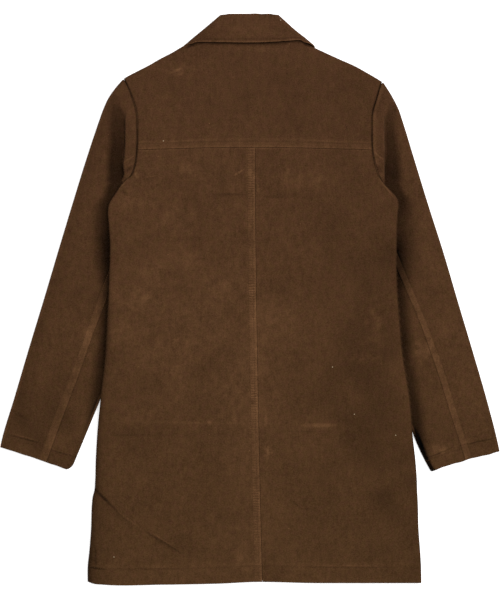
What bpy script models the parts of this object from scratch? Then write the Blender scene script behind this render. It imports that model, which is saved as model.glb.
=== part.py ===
"""Longline faux suede jacket, laid flat with its back up.

Each piece is one cut panel of cloth. A grid of points is set in plan by short edge tables, raised to
the height at which the cloth lies, and given its wall by Solidify. +X is the wearer's right, +Y the
collar and +Z up from the surface that the jacket lies on. All sizes are in metres.
"""
from collections import namedtuple
from math import cos
from math import pi
from math import radians
from math import sin

import bmesh
import bpy
import numpy as np

# Cloth and layers
WALL = 0.0022
SEAM_GAP = 0.0003
LAYER = 0.0058  # from the middle of a front's wall to the middle of the back's wall above it
LAP = 0.0029  # rise of the left front where it laps the right front
LIFT = 0.0058  # rise of the body over the sleeves that lie under its sides
NECK_LIFT = 0.0026  # rise of the body over the front of the collar

# Edge of the body from shoulder tip to hem: y, left x, right x
BODY_EDGE = (
    (0.3470, -0.1984, 0.2112),
    (0.3200, -0.1874, 0.2025),
    (0.2960, -0.1802, 0.1965),
    (0.2700, -0.1791, 0.1958),
    (0.2380, -0.1799, 0.1965),
    (0.2120, -0.1834, 0.2015),
    (0.1980, -0.1895, 0.2056),
    (0.1870, -0.2012, 0.2115),
    (0.1700, -0.2149, 0.2238),
    (0.1460, -0.2261, 0.2379),
    (0.0970, -0.2227, 0.2350),
    (0.0300, -0.2248, 0.2354),
    (-0.0310, -0.2278, 0.2397),
    (-0.0920, -0.2309, 0.2456),
    (-0.1640, -0.2390, 0.2563),
    (-0.2150, -0.2430, 0.2613),
    (-0.2900, -0.2469, 0.2664),
    (-0.3260, -0.2517, 0.2680),
    (-0.4020, -0.2552, 0.2712),
    (-0.4555, -0.2584, 0.2744),
)
# Rows between those of the table, where the cloth comes down from the sleeves, folds or rises to the neck
SLOPE_ROWS = (-0.1920, -0.2040, -0.2260, -0.2520, -0.3080)
FOLD_ROWS = (-0.3450, -0.3640, -0.3830, -0.4280)
NECK_ROWS = (0.2250, 0.2540, 0.2830, 0.3080)
TIP_Y = BODY_EDGE[0][0]
YOKE_END_Y = 0.2380
HEM_Y = BODY_EDGE[-1][0]
STRIP_FULL_Y = 0.1980  # the sleeve's cap lies level with the body above this
STRIP_END_Y = 0.1870  # and has gone under the body's edge below this
UNDER_SLEEVE_TOP_Y = 0.1700

# Columns of the body panels, as shares of the way from the side
BACK_COLUMNS = (0.03, 0.08, 0.16, 0.25, 0.34, 0.44, 0.54, 0.65, 0.76, 0.88, 1.0)
FRONT_COLUMNS = (0.03, 0.10, 0.19, 0.28, 0.37, 0.46)  # the last one comes to the neck end of the shoulder
YOKE_CELLS = 16
YOKE_SHOULDER_CELLS = 5

# Shoulder from neck to tip: y, left x, right x
SHOULDER = (
    (0.4165, -0.0784, 0.0784),
    (0.4005, -0.1016, 0.1024),
    (0.3848, -0.1400, 0.1400),
    (0.3656, -0.1768, 0.1800),
    (0.3470, -0.1984, 0.2112),
)

# Seams of the back, and neckline
YOKE_ARCH = 0.0045
CENTRE_TOP_X = 0.0082
CENTRE_HEM_X = 0.0200
CENTRE_BEND = 1.6
NECK_Y = SHOULDER[0][0]
NECK_HALF = SHOULDER[0][2]
BACK_NECK_RISE = 0.0020
FRONT_NECK_DROP = 0.0990

# Fronts
FRONT_CENTRE_X = 0.0050
LAP_HALF = 0.0250
LAP_SLOPE = 0.0100
LAP_CLEAR = 0.0050

# Rise of the body: where it is level, and how far it slopes away
NECK_CENTRE = (0.0, 0.3780)
NECK_LEVEL_REACH = 0.1150
NECK_SLOPE = 0.0800
SIDE_LEVEL_REACH = 0.0180
SIDE_SLOPE = 0.0500
SIDE_FADE = 0.0750
SIDE_FADE_START = 0.0100
TIP_DROP = 0.55

# Largest folds of the back: start x, y, end x, y, height, half width
FOLDS = (
    (-0.215, -0.204, 0.155, -0.204, 0.0009, 0.012),  # crease of storage across the skirt
    (-0.092, 0.165, 0.130, 0.163, -0.0006, 0.012),  # trough under the yoke
    (-0.246, -0.306, -0.112, -0.404, 0.0016, 0.022),  # fold over the left hem corner
)

# Outer edge of the sleeves: y, left x, right x
SLEEVE_OUTER = (
    (0.3464, -0.2074, 0.2142),
    (0.3270, -0.2217, 0.2249),
    (0.3080, -0.2312, 0.2360),
    (0.2890, -0.2391, 0.2423),
    (0.1930, -0.2684, 0.2712),
    (0.0390, -0.3154, 0.3192),
    (-0.1140, -0.3620, 0.3640),
    (-0.2440, -0.4016, 0.4000),
)

# Seam along the upper side of the sleeves: y, left x, right x
SLEEVE_SEAM = (
    (0.1700, -0.1680, 0.1880),
    (0.1000, -0.1935, 0.2155),
    (0.0300, -0.2200, 0.2440),
    (-0.0340, -0.2437, 0.2708),
    (-0.1200, -0.2744, 0.3016),
    (-0.2110, -0.3084, 0.3298),
    (-0.2780, -0.3322, 0.3510),
)

# Rows across the sleeves: y at the inner edge, lead of the outer edge over it
SLEEVE_ROWS = (
    (0.3450, 0.0014),
    (0.3200, 0.0070),
    (0.2960, 0.0110),
    (0.2700, 0.0100),
    (0.2380, 0.0060),
    (0.2120, 0.0030),
    (0.1980, 0.0010),
    (0.1870, 0.0000),
    (0.1700, -0.0020),
    (0.1460, -0.0040),
    (0.0970, -0.0060),
    (0.0300, -0.0030),
    (-0.0310, 0.0030),
    (-0.0920, 0.0100),
    (-0.1640, 0.0190),
    (-0.2150, 0.0260),
)
CUFF_SHARES = (0.5, 0.8, 1.0)  # last rows, from the row above to the cuff

# Flat height of the sleeves, from the middle of one wall to the middle of the other
SLEEVE_PRESSED = 0.0027
SLEEVE_OPEN = 0.0057
SLEEVE_SWELL_START = 0.0040
SLEEVE_SWELL_END = 0.0450

# Pleat where the sleeve's cap drops below the body
STRIP = 0.0190
STRIP_TAPER = 0.0300
STEP_HALF = 0.0015
DROP_CLEARANCE = 0.0014
DROP_REACH = 0.0300
UNDER_STEP = (0.0040, 0.0130)
PLEAT_FADE = (0.2850, 0.3200)
SOFT_STEP = (0.0020, 0.0450)
SOFT_UNDER_STEP = (0.0010, 0.0350)
STRIP_MOST = 0.4  # the strip and a step take at most these shares of a narrow row
STEP_MOST = 0.1

# Hidden side of the sleeves under the body
TUCK = 0.0620
TUCK_SKEW = 0.7
UNDER_LEAST = 0.0040
FRONT_SEAM_INSET = 0.0300
FRONT_SEAM_TAPER = 0.3
SEAM_FIRST_SHARE = 0.6  # first guess of the seam's place across a row
SEAM_ROUNDS = 6

Sleeve = namedtuple("Sleeve", "name side column emerge splay cuff_outer cuff_inner cuff_round")
LEFT = Sleeve("left", -1, 1, -0.1640, 0.44, -0.2360, -0.2715, 0.0140)
RIGHT = Sleeve("right", 1, 2, -0.2140, 0.47, -0.2440, -0.2750, 0.0020)

# Collar: left half of its fold axis and edges, mirrored to the right
AXIS_ROLL = (-0.0432, 0.4496)
AXIS_NECK = (-0.0774, 0.4190)
AXIS_FALL = (-0.0995, 0.3993)
BACK_FALL_REACH = 0.89  # the fall is this much shorter where it comes round to the back
# Columns across its back half: roll x, y, fall x, y, share of the neckline's half width
COLLAR_BACK = (
    (-0.0360, 0.4525, -0.0850, 0.4083, 0.88),
    (-0.0220, 0.4532, -0.0560, 0.4096, 0.55),
    (0.0, 0.4534, 0.0, 0.4086, 0.0),
)
# Ends on the fronts, and the control points that bend the way there
COLLAR_END_X = -0.0360
ROLL_BEND = (-0.0380, 0.3900)
ROLL_END = (-0.0230, 0.3660)
FALL_BEND = (-0.0980, 0.3300)
FALL_END = (-0.0580, 0.3000)
COLLAR_FRONT_SHARES = (0.0, 0.25, 0.5, 0.75, 1.0)
COLLAR_GAP = 0.0005

# Points around the folds in degrees, and shares along the level cloth between them
ROLL_ANGLES = (0, 12, 36, 62, 90)  # edge of the body, from its end to the level cloth
FOLD_ANGLES = (60, 30, 0, -30, -60)  # edge of a sleeve, and turn of the collar, from top to bottom
BEND_ANGLES = (-45, 0, 45)  # roll line of the collar
LEVEL_ANGLE = 90  # the layers on both sides of a fold lie level at this and its negative
HALVES = (0.0, 0.5, 1.0)
THIRDS = (0.0, 0.35, 0.7, 1.0)

# Look of the cloth: linear colour and roughness
SUEDE_COLOUR = (0.080, 0.037, 0.016, 1.0)
SUEDE_ROUGHNESS = 0.92


def lookup(table, column, y):
    """Value of a table's column at height y, on a smooth curve through its rows."""
    heights = [row[0] for row in reversed(table)]
    values = [row[column] for row in reversed(table)]
    slopes = np.gradient(values, heights)
    y = min(max(y, heights[0]), heights[-1])
    k = min(max(int(np.searchsorted(heights, y)) - 1, 0), len(heights) - 2)
    span = heights[k + 1] - heights[k]
    t = (y - heights[k]) / span
    start = (1 + 2 * t) * (1 - t) ** 2 * values[k] + t * (1 - t) ** 2 * span * slopes[k]
    end = t * t * (3 - 2 * t) * values[k + 1] + t * t * (t - 1) * span * slopes[k + 1]
    return start + end


def ease(low, high, value):
    """0 below low, 1 above high and smooth between them."""
    t = min(max((value - low) / (high - low), 0.0), 1.0)
    return t * t * (3 - 2 * t)


def mix(a, b, share):
    return a + (b - a) * share


def plan(x, y):
    return np.array((x, y))


def body_edge(sleeve, y):
    return lookup(BODY_EDGE, sleeve.column, y)


def tuck(sleeve, y):
    """How far the sleeve's hidden inner fold lies in from the body's edge."""
    share = (STRIP_END_Y - y) / (STRIP_END_Y - sleeve.emerge)
    if share <= 0 or share >= 1:
        return 0.0
    return TUCK * sin(pi * share ** TUCK_SKEW)


def side_lift(sleeve, x, y):
    """Rise of the body over the sleeve at one side."""
    inside = sleeve.side * (body_edge(sleeve, y) - x)
    level_reach = tuck(sleeve, y) + SIDE_LEVEL_REACH
    fade_top = sleeve.emerge - SIDE_FADE_START
    below = ease(fade_top - SIDE_FADE, fade_top, y)
    above = 1 - TIP_DROP * ease(PLEAT_FADE[0], TIP_Y, y)
    return LIFT * below * above * (1 - ease(level_reach, level_reach + SIDE_SLOPE, inside))


def neck_lift(x, y):
    """Rise of the body over the front half of the collar."""
    reach = np.hypot(x - NECK_CENTRE[0], y - NECK_CENTRE[1])
    return NECK_LIFT * (1 - ease(NECK_LEVEL_REACH, NECK_LEVEL_REACH + NECK_SLOPE, reach))


def fold_height(x, y):
    """Height of the back's largest folds, fading at both ends of each."""
    total = 0.0
    for x0, y0, x1, y1, height, half in FOLDS:
        run = plan(x1 - x0, y1 - y0)
        length = np.hypot(*run)
        along = np.dot(plan(x - x0, y - y0), run) / length
        aside = abs(run[0] * (y - y0) - run[1] * (x - x0)) / length
        ends = ease(-half, 2 * half, along) * ease(-half, 2 * half, length - along)
        total += height * ends * np.exp(-(aside / half) ** 2)
    return total


def front_height(x, y):
    lift = side_lift(LEFT, x, y) + side_lift(RIGHT, x, y) + neck_lift(x, y)
    return WALL / 2 + lift


def lapped_front_height(x, y):
    lap_start = FRONT_CENTRE_X - LAP_HALF - LAP_CLEAR
    return front_height(x, y) + LAP * ease(lap_start - LAP_SLOPE, lap_start, x)


def back_height(x, y):
    return front_height(x, y) + LAYER + fold_height(x, y)


def yoke_seam_y(x):
    half = body_edge(LEFT if x < 0 else RIGHT, YOKE_END_Y)
    return YOKE_END_Y + YOKE_ARCH * (1 - (x / half) ** 2)


def centre_seam(y):
    share = min(max((YOKE_END_Y + YOKE_ARCH - y) / (YOKE_END_Y + YOKE_ARCH - HEM_Y), 0.0), 1.0)
    return mix(CENTRE_TOP_X, CENTRE_HEM_X, share ** CENTRE_BEND)


def back_neck_y(x):
    return NECK_Y + BACK_NECK_RISE * (1 - (x / NECK_HALF) ** 2)


def front_neck_y(sleeve, x):
    """Neckline of one front: a straight slant from the shoulder to its edge past the centre."""
    return NECK_Y - FRONT_NECK_DROP * (1 - sleeve.side * x / NECK_HALF)


def roll_radius():
    return LAYER / 2


def roll_places():
    """Edge that rolls to meet the other layer: distance in from the edge, drop from the level cloth."""
    depth = roll_radius() - SEAM_GAP
    return [(roll_radius() * (1 - cos(radians(a))), depth * (1 - sin(radians(a)))) for a in ROLL_ANGLES]


def side_roll(y):
    """1 where the body's side is a rolled edge, 0 where it is sewn to the sleeve's cap."""
    return 1 - ease(STRIP_END_Y, STRIP_FULL_Y, y)


def side_point(sleeve, y):
    """Edge of a body panel at the side, inside its outline by half a wall or half a seam."""
    inset = mix(SEAM_GAP / 2, WALL / 2, side_roll(y))
    return plan(body_edge(sleeve, y) - sleeve.side * inset, y)


def shoulder_point(sleeve, share):
    """Point of the shoulder edge, from 0 at the tip to 1 at the neck."""
    y = mix(TIP_Y, NECK_Y, share)
    return plan(lookup(SHOULDER, sleeve.column, y), y - WALL / 2)


def coons(left, right, bottom, top, u, v):
    """Plan point of a four-sided panel from its four edge curves."""
    sides = (1 - u) * left(v) + u * right(v)
    ends = (1 - v) * bottom(u) + v * top(u)
    low = (1 - u) * bottom(0.0) + u * bottom(1.0)
    high = (1 - u) * top(0.0) + u * top(1.0)
    return sides + ends - (1 - v) * low - v * high


def stations(shares, length, roll_start=False, roll_end=False):
    """Places along a panel's line as share and drop, with the rolled edges first or last."""
    rolled = roll_places()
    places = [(share, 0.0) for share in shares]
    if roll_start:
        places = [(inset / length, drop) for inset, drop in rolled] + places
    if roll_end:
        places = places + [(1 - inset / length, drop) for inset, drop in reversed(rolled)]
    return places


def height_shares(heights, low, high):
    return [(y - low) / (high - low) for y in heights]


def row_heights(low, high, extra):
    """Heights of a panel's rows between two limits, from the lowest."""
    heights = [row[0] for row in BODY_EDGE] + list(extra)
    return sorted(y for y in heights if low <= y <= high)


def panel_rows(edges, across, along, height, roll_sign):
    """Points of a body panel. across and along give places for a line's length, height the level cloth."""
    left, right, bottom, top = edges
    columns = [share for share, drop in across(1.0)]
    lengths = [np.hypot(*(top(share) - bottom(share))) for share in columns]
    rows = []
    for j in range(len(along(1.0))):
        row = []
        for i in range(len(columns)):
            v, end_drop = along(lengths[i])[j]
            row_length = np.hypot(*(right(v) - left(v)))
            u, side_drop = across(row_length)[i]
            x, y = coons(left, right, bottom, top, u, v)
            on_shoulder = 1.0 if abs(x) > NECK_HALF else 0.0
            drop = max(side_drop * side_roll(y), end_drop * on_shoulder)
            row.append((x, y, height(x, y) + roll_sign * drop))
        rows.append(row)
    return rows


def back_panel(sleeve):
    """Lower back on one side, from hem to yoke seam and from side to centre back."""
    shares = height_shares(row_heights(HEM_Y, YOKE_END_Y, SLOPE_ROWS + FOLD_ROWS), HEM_Y, YOKE_END_Y)

    def side(v):
        return side_point(sleeve, mix(HEM_Y, YOKE_END_Y - SEAM_GAP / 2, v))

    def centre(v):
        y = mix(HEM_Y, yoke_seam_y(CENTRE_TOP_X) - SEAM_GAP / 2, v)
        return plan(centre_seam(y) + sleeve.side * SEAM_GAP / 2, y)

    def hem(share):
        return mix(side(0.0), centre(0.0), share)

    def seam(share):
        x = mix(side(1.0)[0], centre(1.0)[0], share)
        return plan(x, yoke_seam_y(x) - SEAM_GAP / 2)

    def along(length):
        return stations(shares, length)

    if sleeve.side < 0:
        edges = (side, centre, hem, seam)
        return panel_rows(edges, lambda w: stations(BACK_COLUMNS, w, roll_start=True), along, back_height, -1)
    edges = (centre, side, lambda u: hem(1 - u), lambda u: seam(1 - u))
    columns = [1 - share for share in reversed(BACK_COLUMNS)]
    return panel_rows(edges, lambda w: stations(columns, w, roll_end=True), along, back_height, -1)


def yoke_panel():
    """Yoke, from its seam to the shoulders and neckline and from armhole to armhole."""
    neck_share = YOKE_SHOULDER_CELLS / YOKE_CELLS
    columns = [i / YOKE_CELLS for i in range(YOKE_CELLS + 1)]
    shares = height_shares(row_heights(YOKE_END_Y, TIP_Y, ())[:-1], YOKE_END_Y, TIP_Y)

    def left(v):
        return side_point(LEFT, mix(YOKE_END_Y + SEAM_GAP / 2, TIP_Y - WALL / 2, v))

    def right(v):
        return side_point(RIGHT, mix(YOKE_END_Y + SEAM_GAP / 2, TIP_Y - WALL / 2, v))

    def seam(u):
        x = mix(left(0.0)[0], right(0.0)[0], u)
        return plan(x, yoke_seam_y(x) + SEAM_GAP / 2)

    def top(u):
        if u < neck_share:
            return shoulder_point(LEFT, u / neck_share)
        if u > 1 - neck_share:
            return shoulder_point(RIGHT, (1 - u) / neck_share)
        x = mix(-NECK_HALF, NECK_HALF, (u - neck_share) / (1 - 2 * neck_share))
        return plan(x, back_neck_y(x) - SEAM_GAP / 2)

    def across(length):
        return stations(columns, length)

    def along(length):
        return stations(shares, length, roll_end=True)

    return panel_rows((left, right, seam, top), across, along, back_height, -1)


def front_panel(sleeve):
    """Front on one side, from hem to shoulder and neckline and from side to its edge past the centre."""
    hem_x = body_edge(sleeve, HEM_Y)
    front_x = FRONT_CENTRE_X - sleeve.side * LAP_HALF
    neck_x = sleeve.side * NECK_HALF
    collar_x = -sleeve.side * COLLAR_END_X
    lap_x = FRONT_CENTRE_X + sleeve.side * (LAP_HALF + LAP_CLEAR)
    neck_share = FRONT_COLUMNS[-1]
    collar_share = (collar_x - hem_x) / (front_x - hem_x)
    columns = list(FRONT_COLUMNS)
    columns += [mix(neck_share, collar_share, share) for share in COLLAR_FRONT_SHARES[1:]]
    columns += [(lap_x - hem_x) / (front_x - hem_x), 1.0]
    shares = height_shares(row_heights(HEM_Y, TIP_Y, SLOPE_ROWS + NECK_ROWS)[:-1], HEM_Y, TIP_Y)
    height = lapped_front_height if sleeve.side < 0 else front_height

    def side(v):
        return side_point(sleeve, mix(HEM_Y, TIP_Y - WALL / 2, v))

    def edge(v):
        return plan(front_x, mix(HEM_Y, front_neck_y(sleeve, front_x), v))

    def hem(share):
        return mix(side(0.0), edge(0.0), share)

    def top(share):
        if share <= neck_share:
            return shoulder_point(sleeve, share / neck_share)
        if share <= collar_share:
            x = mix(neck_x, collar_x, (share - neck_share) / (collar_share - neck_share))
        else:
            x = mix(collar_x, front_x, (share - collar_share) / (1 - collar_share))
        return plan(x, front_neck_y(sleeve, x))

    def along(length):
        return stations(shares, length, roll_end=True)

    if sleeve.side < 0:
        edges = (side, edge, hem, top)
        return panel_rows(edges, lambda w: stations(columns, w, roll_start=True), along, height, 1)
    edges = (edge, side, lambda u: hem(1 - u), lambda u: top(1 - u))
    mirrored = [1 - share for share in reversed(columns)]
    return panel_rows(edges, lambda w: stations(mirrored, w, roll_end=True), along, height, 1)


def inner_edge(sleeve, y):
    """Inner edge of the sleeve: armhole, hidden fold under the body, then the fold that shows."""
    if y >= sleeve.emerge:
        inset = SEAM_GAP / 2 + DROP_CLEARANCE * (1 - ease(STRIP_FULL_Y, STRIP_FULL_Y + DROP_REACH, y))
        return body_edge(sleeve, y) + sleeve.side * (inset - tuck(sleeve, y))
    start = body_edge(sleeve, sleeve.emerge)
    corner = min(max((sleeve.cuff_inner + sleeve.cuff_round - y) / sleeve.cuff_round, 0.0), 1.0)
    rounding = sleeve.cuff_round * (1 - (1 - corner ** 2) ** 0.5)
    return start + sleeve.side * (sleeve.splay * (sleeve.emerge - y) + rounding)


def pleat(y, sharp, soft):
    """Start and end of the drop from the body's level, out from the armhole seam."""
    share = ease(*PLEAT_FADE, y)
    return mix(sharp[0], soft[0], share), mix(sharp[1], soft[1], share)


def strip_width(y):
    return STRIP * min(max((y - STRIP_END_Y) / STRIP_TAPER, 0.0), 1.0) ** 0.5


def sleeve_under_height(sleeve, x, y):
    """Middle of the sleeve's lower wall, raised to the front's armhole edge near that seam."""
    outside = sleeve.side * (x - body_edge(sleeve, y))
    start, end = pleat(y, UNDER_STEP, SOFT_UNDER_STEP)
    rise = front_height(body_edge(sleeve, y), y) - WALL / 2
    return WALL / 2 + rise * (1 - side_roll(y)) * (1 - ease(start, end, outside))


def sleeve_top_height(sleeve, x, y):
    """Middle of the sleeve's upper wall, with the pleat where its cap drops from the body's level."""
    outside = sleeve.side * (x - body_edge(sleeve, y))
    swell = ease(SLEEVE_SWELL_START, SLEEVE_SWELL_END, outside)
    low = WALL / 2 + mix(SLEEVE_PRESSED, SLEEVE_OPEN, swell)
    strip = strip_width(y)
    start, end = pleat(y, (strip - STEP_HALF, strip + STEP_HALF), SOFT_STEP)
    rise = back_height(body_edge(sleeve, y), y) - WALL / 2 - SLEEVE_PRESSED
    return low + rise * (1 - side_roll(y)) * (1 - ease(start, end, outside))


def sleeve_lines(sleeve):
    """Rows across the sleeve as outer and inner plan points, from shoulder to cuff."""
    pairs = [(inner_y, inner_y + lead) for inner_y, lead in SLEEVE_ROWS]
    last_inner, last_outer = pairs[-1]
    for share in CUFF_SHARES:
        pairs.append((mix(last_inner, sleeve.cuff_inner, share), mix(last_outer, sleeve.cuff_outer, share)))
    lines = []
    for inner_y, outer_y in pairs:
        outer = plan(lookup(SLEEVE_OUTER, sleeve.column, outer_y), outer_y)
        lines.append((outer, plan(inner_edge(sleeve, inner_y), inner_y)))
    return lines


def seam_distance(sleeve, outer, inner):
    """Distance from the outer edge to the seam along the upper side of the sleeve."""
    length = np.hypot(*(inner - outer))
    if inner[1] > UNDER_SLEEVE_TOP_Y:
        return length
    share = SEAM_FIRST_SHARE
    for step in range(SEAM_ROUNDS):
        y = mix(outer[1], inner[1], share)
        share = (lookup(SLEEVE_SEAM, sleeve.column, y) - outer[0]) / (inner[0] - outer[0])
    return min(share * length, length - UNDER_LEAST)


def front_seam_distance(outer, inner):
    """Distance from the outer edge to the seam along the lower side of the sleeve."""
    length = np.hypot(*(inner - outer))
    if inner[1] > UNDER_SLEEVE_TOP_Y:
        return length
    return length - min(FRONT_SEAM_INSET, UNDER_LEAST + FRONT_SEAM_TAPER * (UNDER_SLEEVE_TOP_Y - inner[1]))


def sleeve_fold(sleeve, outer, inner, at_outer):
    """Half circle of points around one edge fold of the sleeve, from its upper to its lower wall."""
    run = (inner - outer) / np.hypot(*(inner - outer))
    edge, inward = (outer, run) if at_outer else (inner, -run)
    near = edge + inward * (WALL / 2 + SLEEVE_PRESSED / 2)
    high = sleeve_top_height(sleeve, *near)
    low = sleeve_under_height(sleeve, *near)
    radius = (high - low) / 2
    points = []
    for angle in FOLD_ANGLES:
        place = edge + inward * (WALL / 2 + radius * (1 - cos(radians(angle))))
        points.append((*place, (high + low) / 2 + radius * sin(radians(angle))))
    return points, WALL / 2 + radius


def sleeve_top_piece(sleeve):
    """Outer part of the sleeve: from its upper seam round the outer fold to its lower seam."""
    rows = []
    for outer, inner in sleeve_lines(sleeve):
        length = np.hypot(*(inner - outer))
        run = (inner - outer) / length
        fold, fold_reach = sleeve_fold(sleeve, outer, inner, at_outer=True)
        start = seam_distance(sleeve, outer, inner)
        start -= 0.0 if start == length else SEAM_GAP / 2
        end = front_seam_distance(outer, inner)
        end -= 0.0 if end == length else SEAM_GAP / 2
        strip = min(max(strip_width(inner[1]), STRIP / 2), STRIP_MOST * start)
        step = min(STEP_HALF, STEP_MOST * start)
        upper = [start, start - strip / 2, start - strip + step]
        upper += [mix(start - strip - step, fold_reach, share) for share in THIRDS]
        step_in = min(UNDER_STEP[0], STEP_MOST * end)
        step_out = min(UNDER_STEP[1], STRIP_MOST * end)
        under = [mix(fold_reach, end - step_out, share) for share in HALVES] + [end - step_in, end]
        row = [(*(outer + run * d), sleeve_top_height(sleeve, *(outer + run * d))) for d in upper]
        row += fold
        row += [(*(outer + run * d), sleeve_under_height(sleeve, *(outer + run * d))) for d in under]
        rows.append(row)
    return rows


def sleeve_under_piece(sleeve):
    """Under part of the sleeve: from its upper seam round the inner fold to its lower seam."""
    rows = []
    for outer, inner in sleeve_lines(sleeve):
        if inner[1] > UNDER_SLEEVE_TOP_Y:
            continue
        length = np.hypot(*(inner - outer))
        run = (inner - outer) / length
        fold, fold_reach = sleeve_fold(sleeve, outer, inner, at_outer=False)
        start = seam_distance(sleeve, outer, inner) + SEAM_GAP / 2
        end = front_seam_distance(outer, inner) + SEAM_GAP / 2
        upper = [mix(start, length - fold_reach, share) for share in HALVES]
        under = [mix(length - fold_reach, end, share) for share in HALVES]
        row = [(*(outer + run * d), sleeve_top_height(sleeve, *(outer + run * d))) for d in upper]
        row += fold
        row += [(*(outer + run * d), sleeve_under_height(sleeve, *(outer + run * d))) for d in under]
        rows.append(row)
    return rows


def bezier(start, bend, end, share):
    """Point of a curve with one control point."""
    first = mix(np.array(start), np.array(bend), share)
    second = mix(np.array(bend), np.array(end), share)
    return mix(first, second, share)


def collar_columns():
    """Left half of the collar's columns from its front end to centre back, as neck, roll, fall and turn."""
    columns = []
    for share in reversed(COLLAR_FRONT_SHARES[1:]):
        x = mix(-NECK_HALF, COLLAR_END_X, share)
        neck = plan(x, front_neck_y(LEFT, x)) + COLLAR_GAP
        roll = bezier(AXIS_ROLL, ROLL_BEND, ROLL_END, share)
        fall = bezier(AXIS_FALL, FALL_BEND, FALL_END, share)
        columns.append((neck, roll, fall, -LEVEL_ANGLE))
    for angle in (-LEVEL_ANGLE, *reversed(FOLD_ANGLES), LEVEL_ANGLE):
        reach = mix(1.0, BACK_FALL_REACH, (1 + angle / LEVEL_ANGLE) / 2)
        fall = mix(np.array(AXIS_ROLL), np.array(AXIS_FALL), reach)
        columns.append((np.array(AXIS_NECK), np.array(AXIS_ROLL), fall, angle))
    for roll_x, roll_y, fall_x, fall_y, neck_share in COLLAR_BACK:
        x = -neck_share * NECK_HALF
        neck = plan(x, back_neck_y(x) + COLLAR_GAP)
        columns.append((neck, plan(roll_x, roll_y), plan(fall_x, fall_y), LEVEL_ANGLE))
    return columns


def collar_section(neck, roll, fall, angle, mirror):
    """Section of the collar: up its stand, round the roll line and down its fall."""
    stand_radius = LAYER / 2
    fall_radius = stand_radius + NECK_LIFT
    middle_z = WALL / 2 + NECK_LIFT + LAYER / 2
    axis_run = np.array(AXIS_ROLL) - np.array(AXIS_FALL)
    outward = plan(-axis_run[1], axis_run[0]) / np.hypot(*axis_run)
    away = (roll - fall) / np.hypot(*(roll - fall))
    turn = radians(angle)

    def place(at, radius):
        x, y = at + outward * radius * cos(turn)
        return (mirror * x, y, middle_z + radius * sin(turn))

    points = [place(mix(neck, roll, share), stand_radius) for share in HALVES]
    half_step = (fall_radius - stand_radius) / 2
    for bend in BEND_ANGLES:
        radius = stand_radius + half_step * (1 + sin(radians(bend)))
        points.append(place(roll + away * half_step * cos(radians(bend)), radius))
    points += [place(mix(roll, fall, share), fall_radius) for share in THIRDS]
    return points


def collar_rows():
    """Collar from its left front end, round the back of the neck, to its right front end."""
    columns = collar_columns()
    rows = [collar_section(*column, mirror=1) for column in columns]
    rows += [collar_section(*column, mirror=-1) for column in reversed(columns[:-1])]
    return rows


def suede(name):
    """Matt brown cloth."""
    material = bpy.data.materials.new(name)
    material.use_nodes = True
    shader = material.node_tree.nodes["Principled BSDF"]
    shader.inputs["Base Color"].default_value = SUEDE_COLOUR
    shader.inputs["Roughness"].default_value = SUEDE_ROUGHNESS
    shader.inputs["Metallic"].default_value = 0.0
    return material


def cloth(name, rows, collection):
    """Panel of cloth: a grid moved to the rows of points, with a wall on both sides of it."""
    count_v = len(rows)
    count_u = len(rows[0])
    grid = bmesh.new()
    bmesh.ops.create_grid(grid, x_segments=count_u - 1, y_segments=count_v - 1, size=1.0)
    for vertex in grid.verts:
        i = round((vertex.co.x + 1) / 2 * (count_u - 1))
        j = round((vertex.co.y + 1) / 2 * (count_v - 1))
        vertex.co = rows[j][i]
    mesh = bpy.data.meshes.new(name)
    grid.to_mesh(mesh)
    grid.free()
    mesh.shade_smooth()
    mesh.materials.append(suede(name))
    panel = bpy.data.objects.new(name, mesh)
    collection.objects.link(panel)
    wall = panel.modifiers.new("wall", "SOLIDIFY")
    wall.thickness = WALL
    wall.offset = 0.0
    wall.use_even_offset = True
    wall.use_quality_normals = True
    return panel


def main():
    for old in list(bpy.data.objects):
        bpy.data.objects.remove(old, do_unlink=True)
    jacket = bpy.data.collections.new("longline_jacket")
    bpy.context.scene.collection.children.link(jacket)
    cloth("back_yoke", yoke_panel(), jacket)
    cloth("collar", collar_rows(), jacket)
    for sleeve in (LEFT, RIGHT):
        cloth(f"back_{sleeve.name}", back_panel(sleeve), jacket)
        cloth(f"front_{sleeve.name}", front_panel(sleeve), jacket)
        cloth(f"sleeve_{sleeve.name}_top", sleeve_top_piece(sleeve), jacket)
        cloth(f"sleeve_{sleeve.name}_under", sleeve_under_piece(sleeve), jacket)


main()
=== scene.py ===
"""Looks of the longline faux suede jacket, laid flat with its back up and seen from above.

Each panel of cloth is a thin rounded shell on its solid's form: a grid of points that is set in plan by
the same edge tables as the solid, raised to the height at which the cloth lies, and given creases, sewn
ridges and grooves in their own sizes. +X is the wearer's right, +Y the collar and +Z up. Sizes in metres.
"""
from collections import namedtuple

import bpy
import numpy as np
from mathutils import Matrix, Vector


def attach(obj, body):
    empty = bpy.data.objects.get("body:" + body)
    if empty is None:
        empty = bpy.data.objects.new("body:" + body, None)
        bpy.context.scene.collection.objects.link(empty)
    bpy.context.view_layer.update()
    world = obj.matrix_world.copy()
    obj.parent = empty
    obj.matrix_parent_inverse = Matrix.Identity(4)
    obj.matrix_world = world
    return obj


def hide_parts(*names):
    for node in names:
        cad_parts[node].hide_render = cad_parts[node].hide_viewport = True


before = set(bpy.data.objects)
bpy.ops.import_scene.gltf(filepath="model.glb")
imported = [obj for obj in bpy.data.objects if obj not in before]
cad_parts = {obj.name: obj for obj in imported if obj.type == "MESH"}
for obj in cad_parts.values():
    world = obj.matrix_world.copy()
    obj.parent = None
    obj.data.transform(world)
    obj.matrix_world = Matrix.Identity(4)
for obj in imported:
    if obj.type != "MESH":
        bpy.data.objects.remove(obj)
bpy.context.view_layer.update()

# Cloth and layers
WALL = 0.0022  # wall of the solids
CLOTH = 0.0020  # thickness of the shells
RIM = 0.0007  # radius of their rounded edges
SEWN_RIM = 0.0003  # and of the edges sewn flat to the next panel
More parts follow.
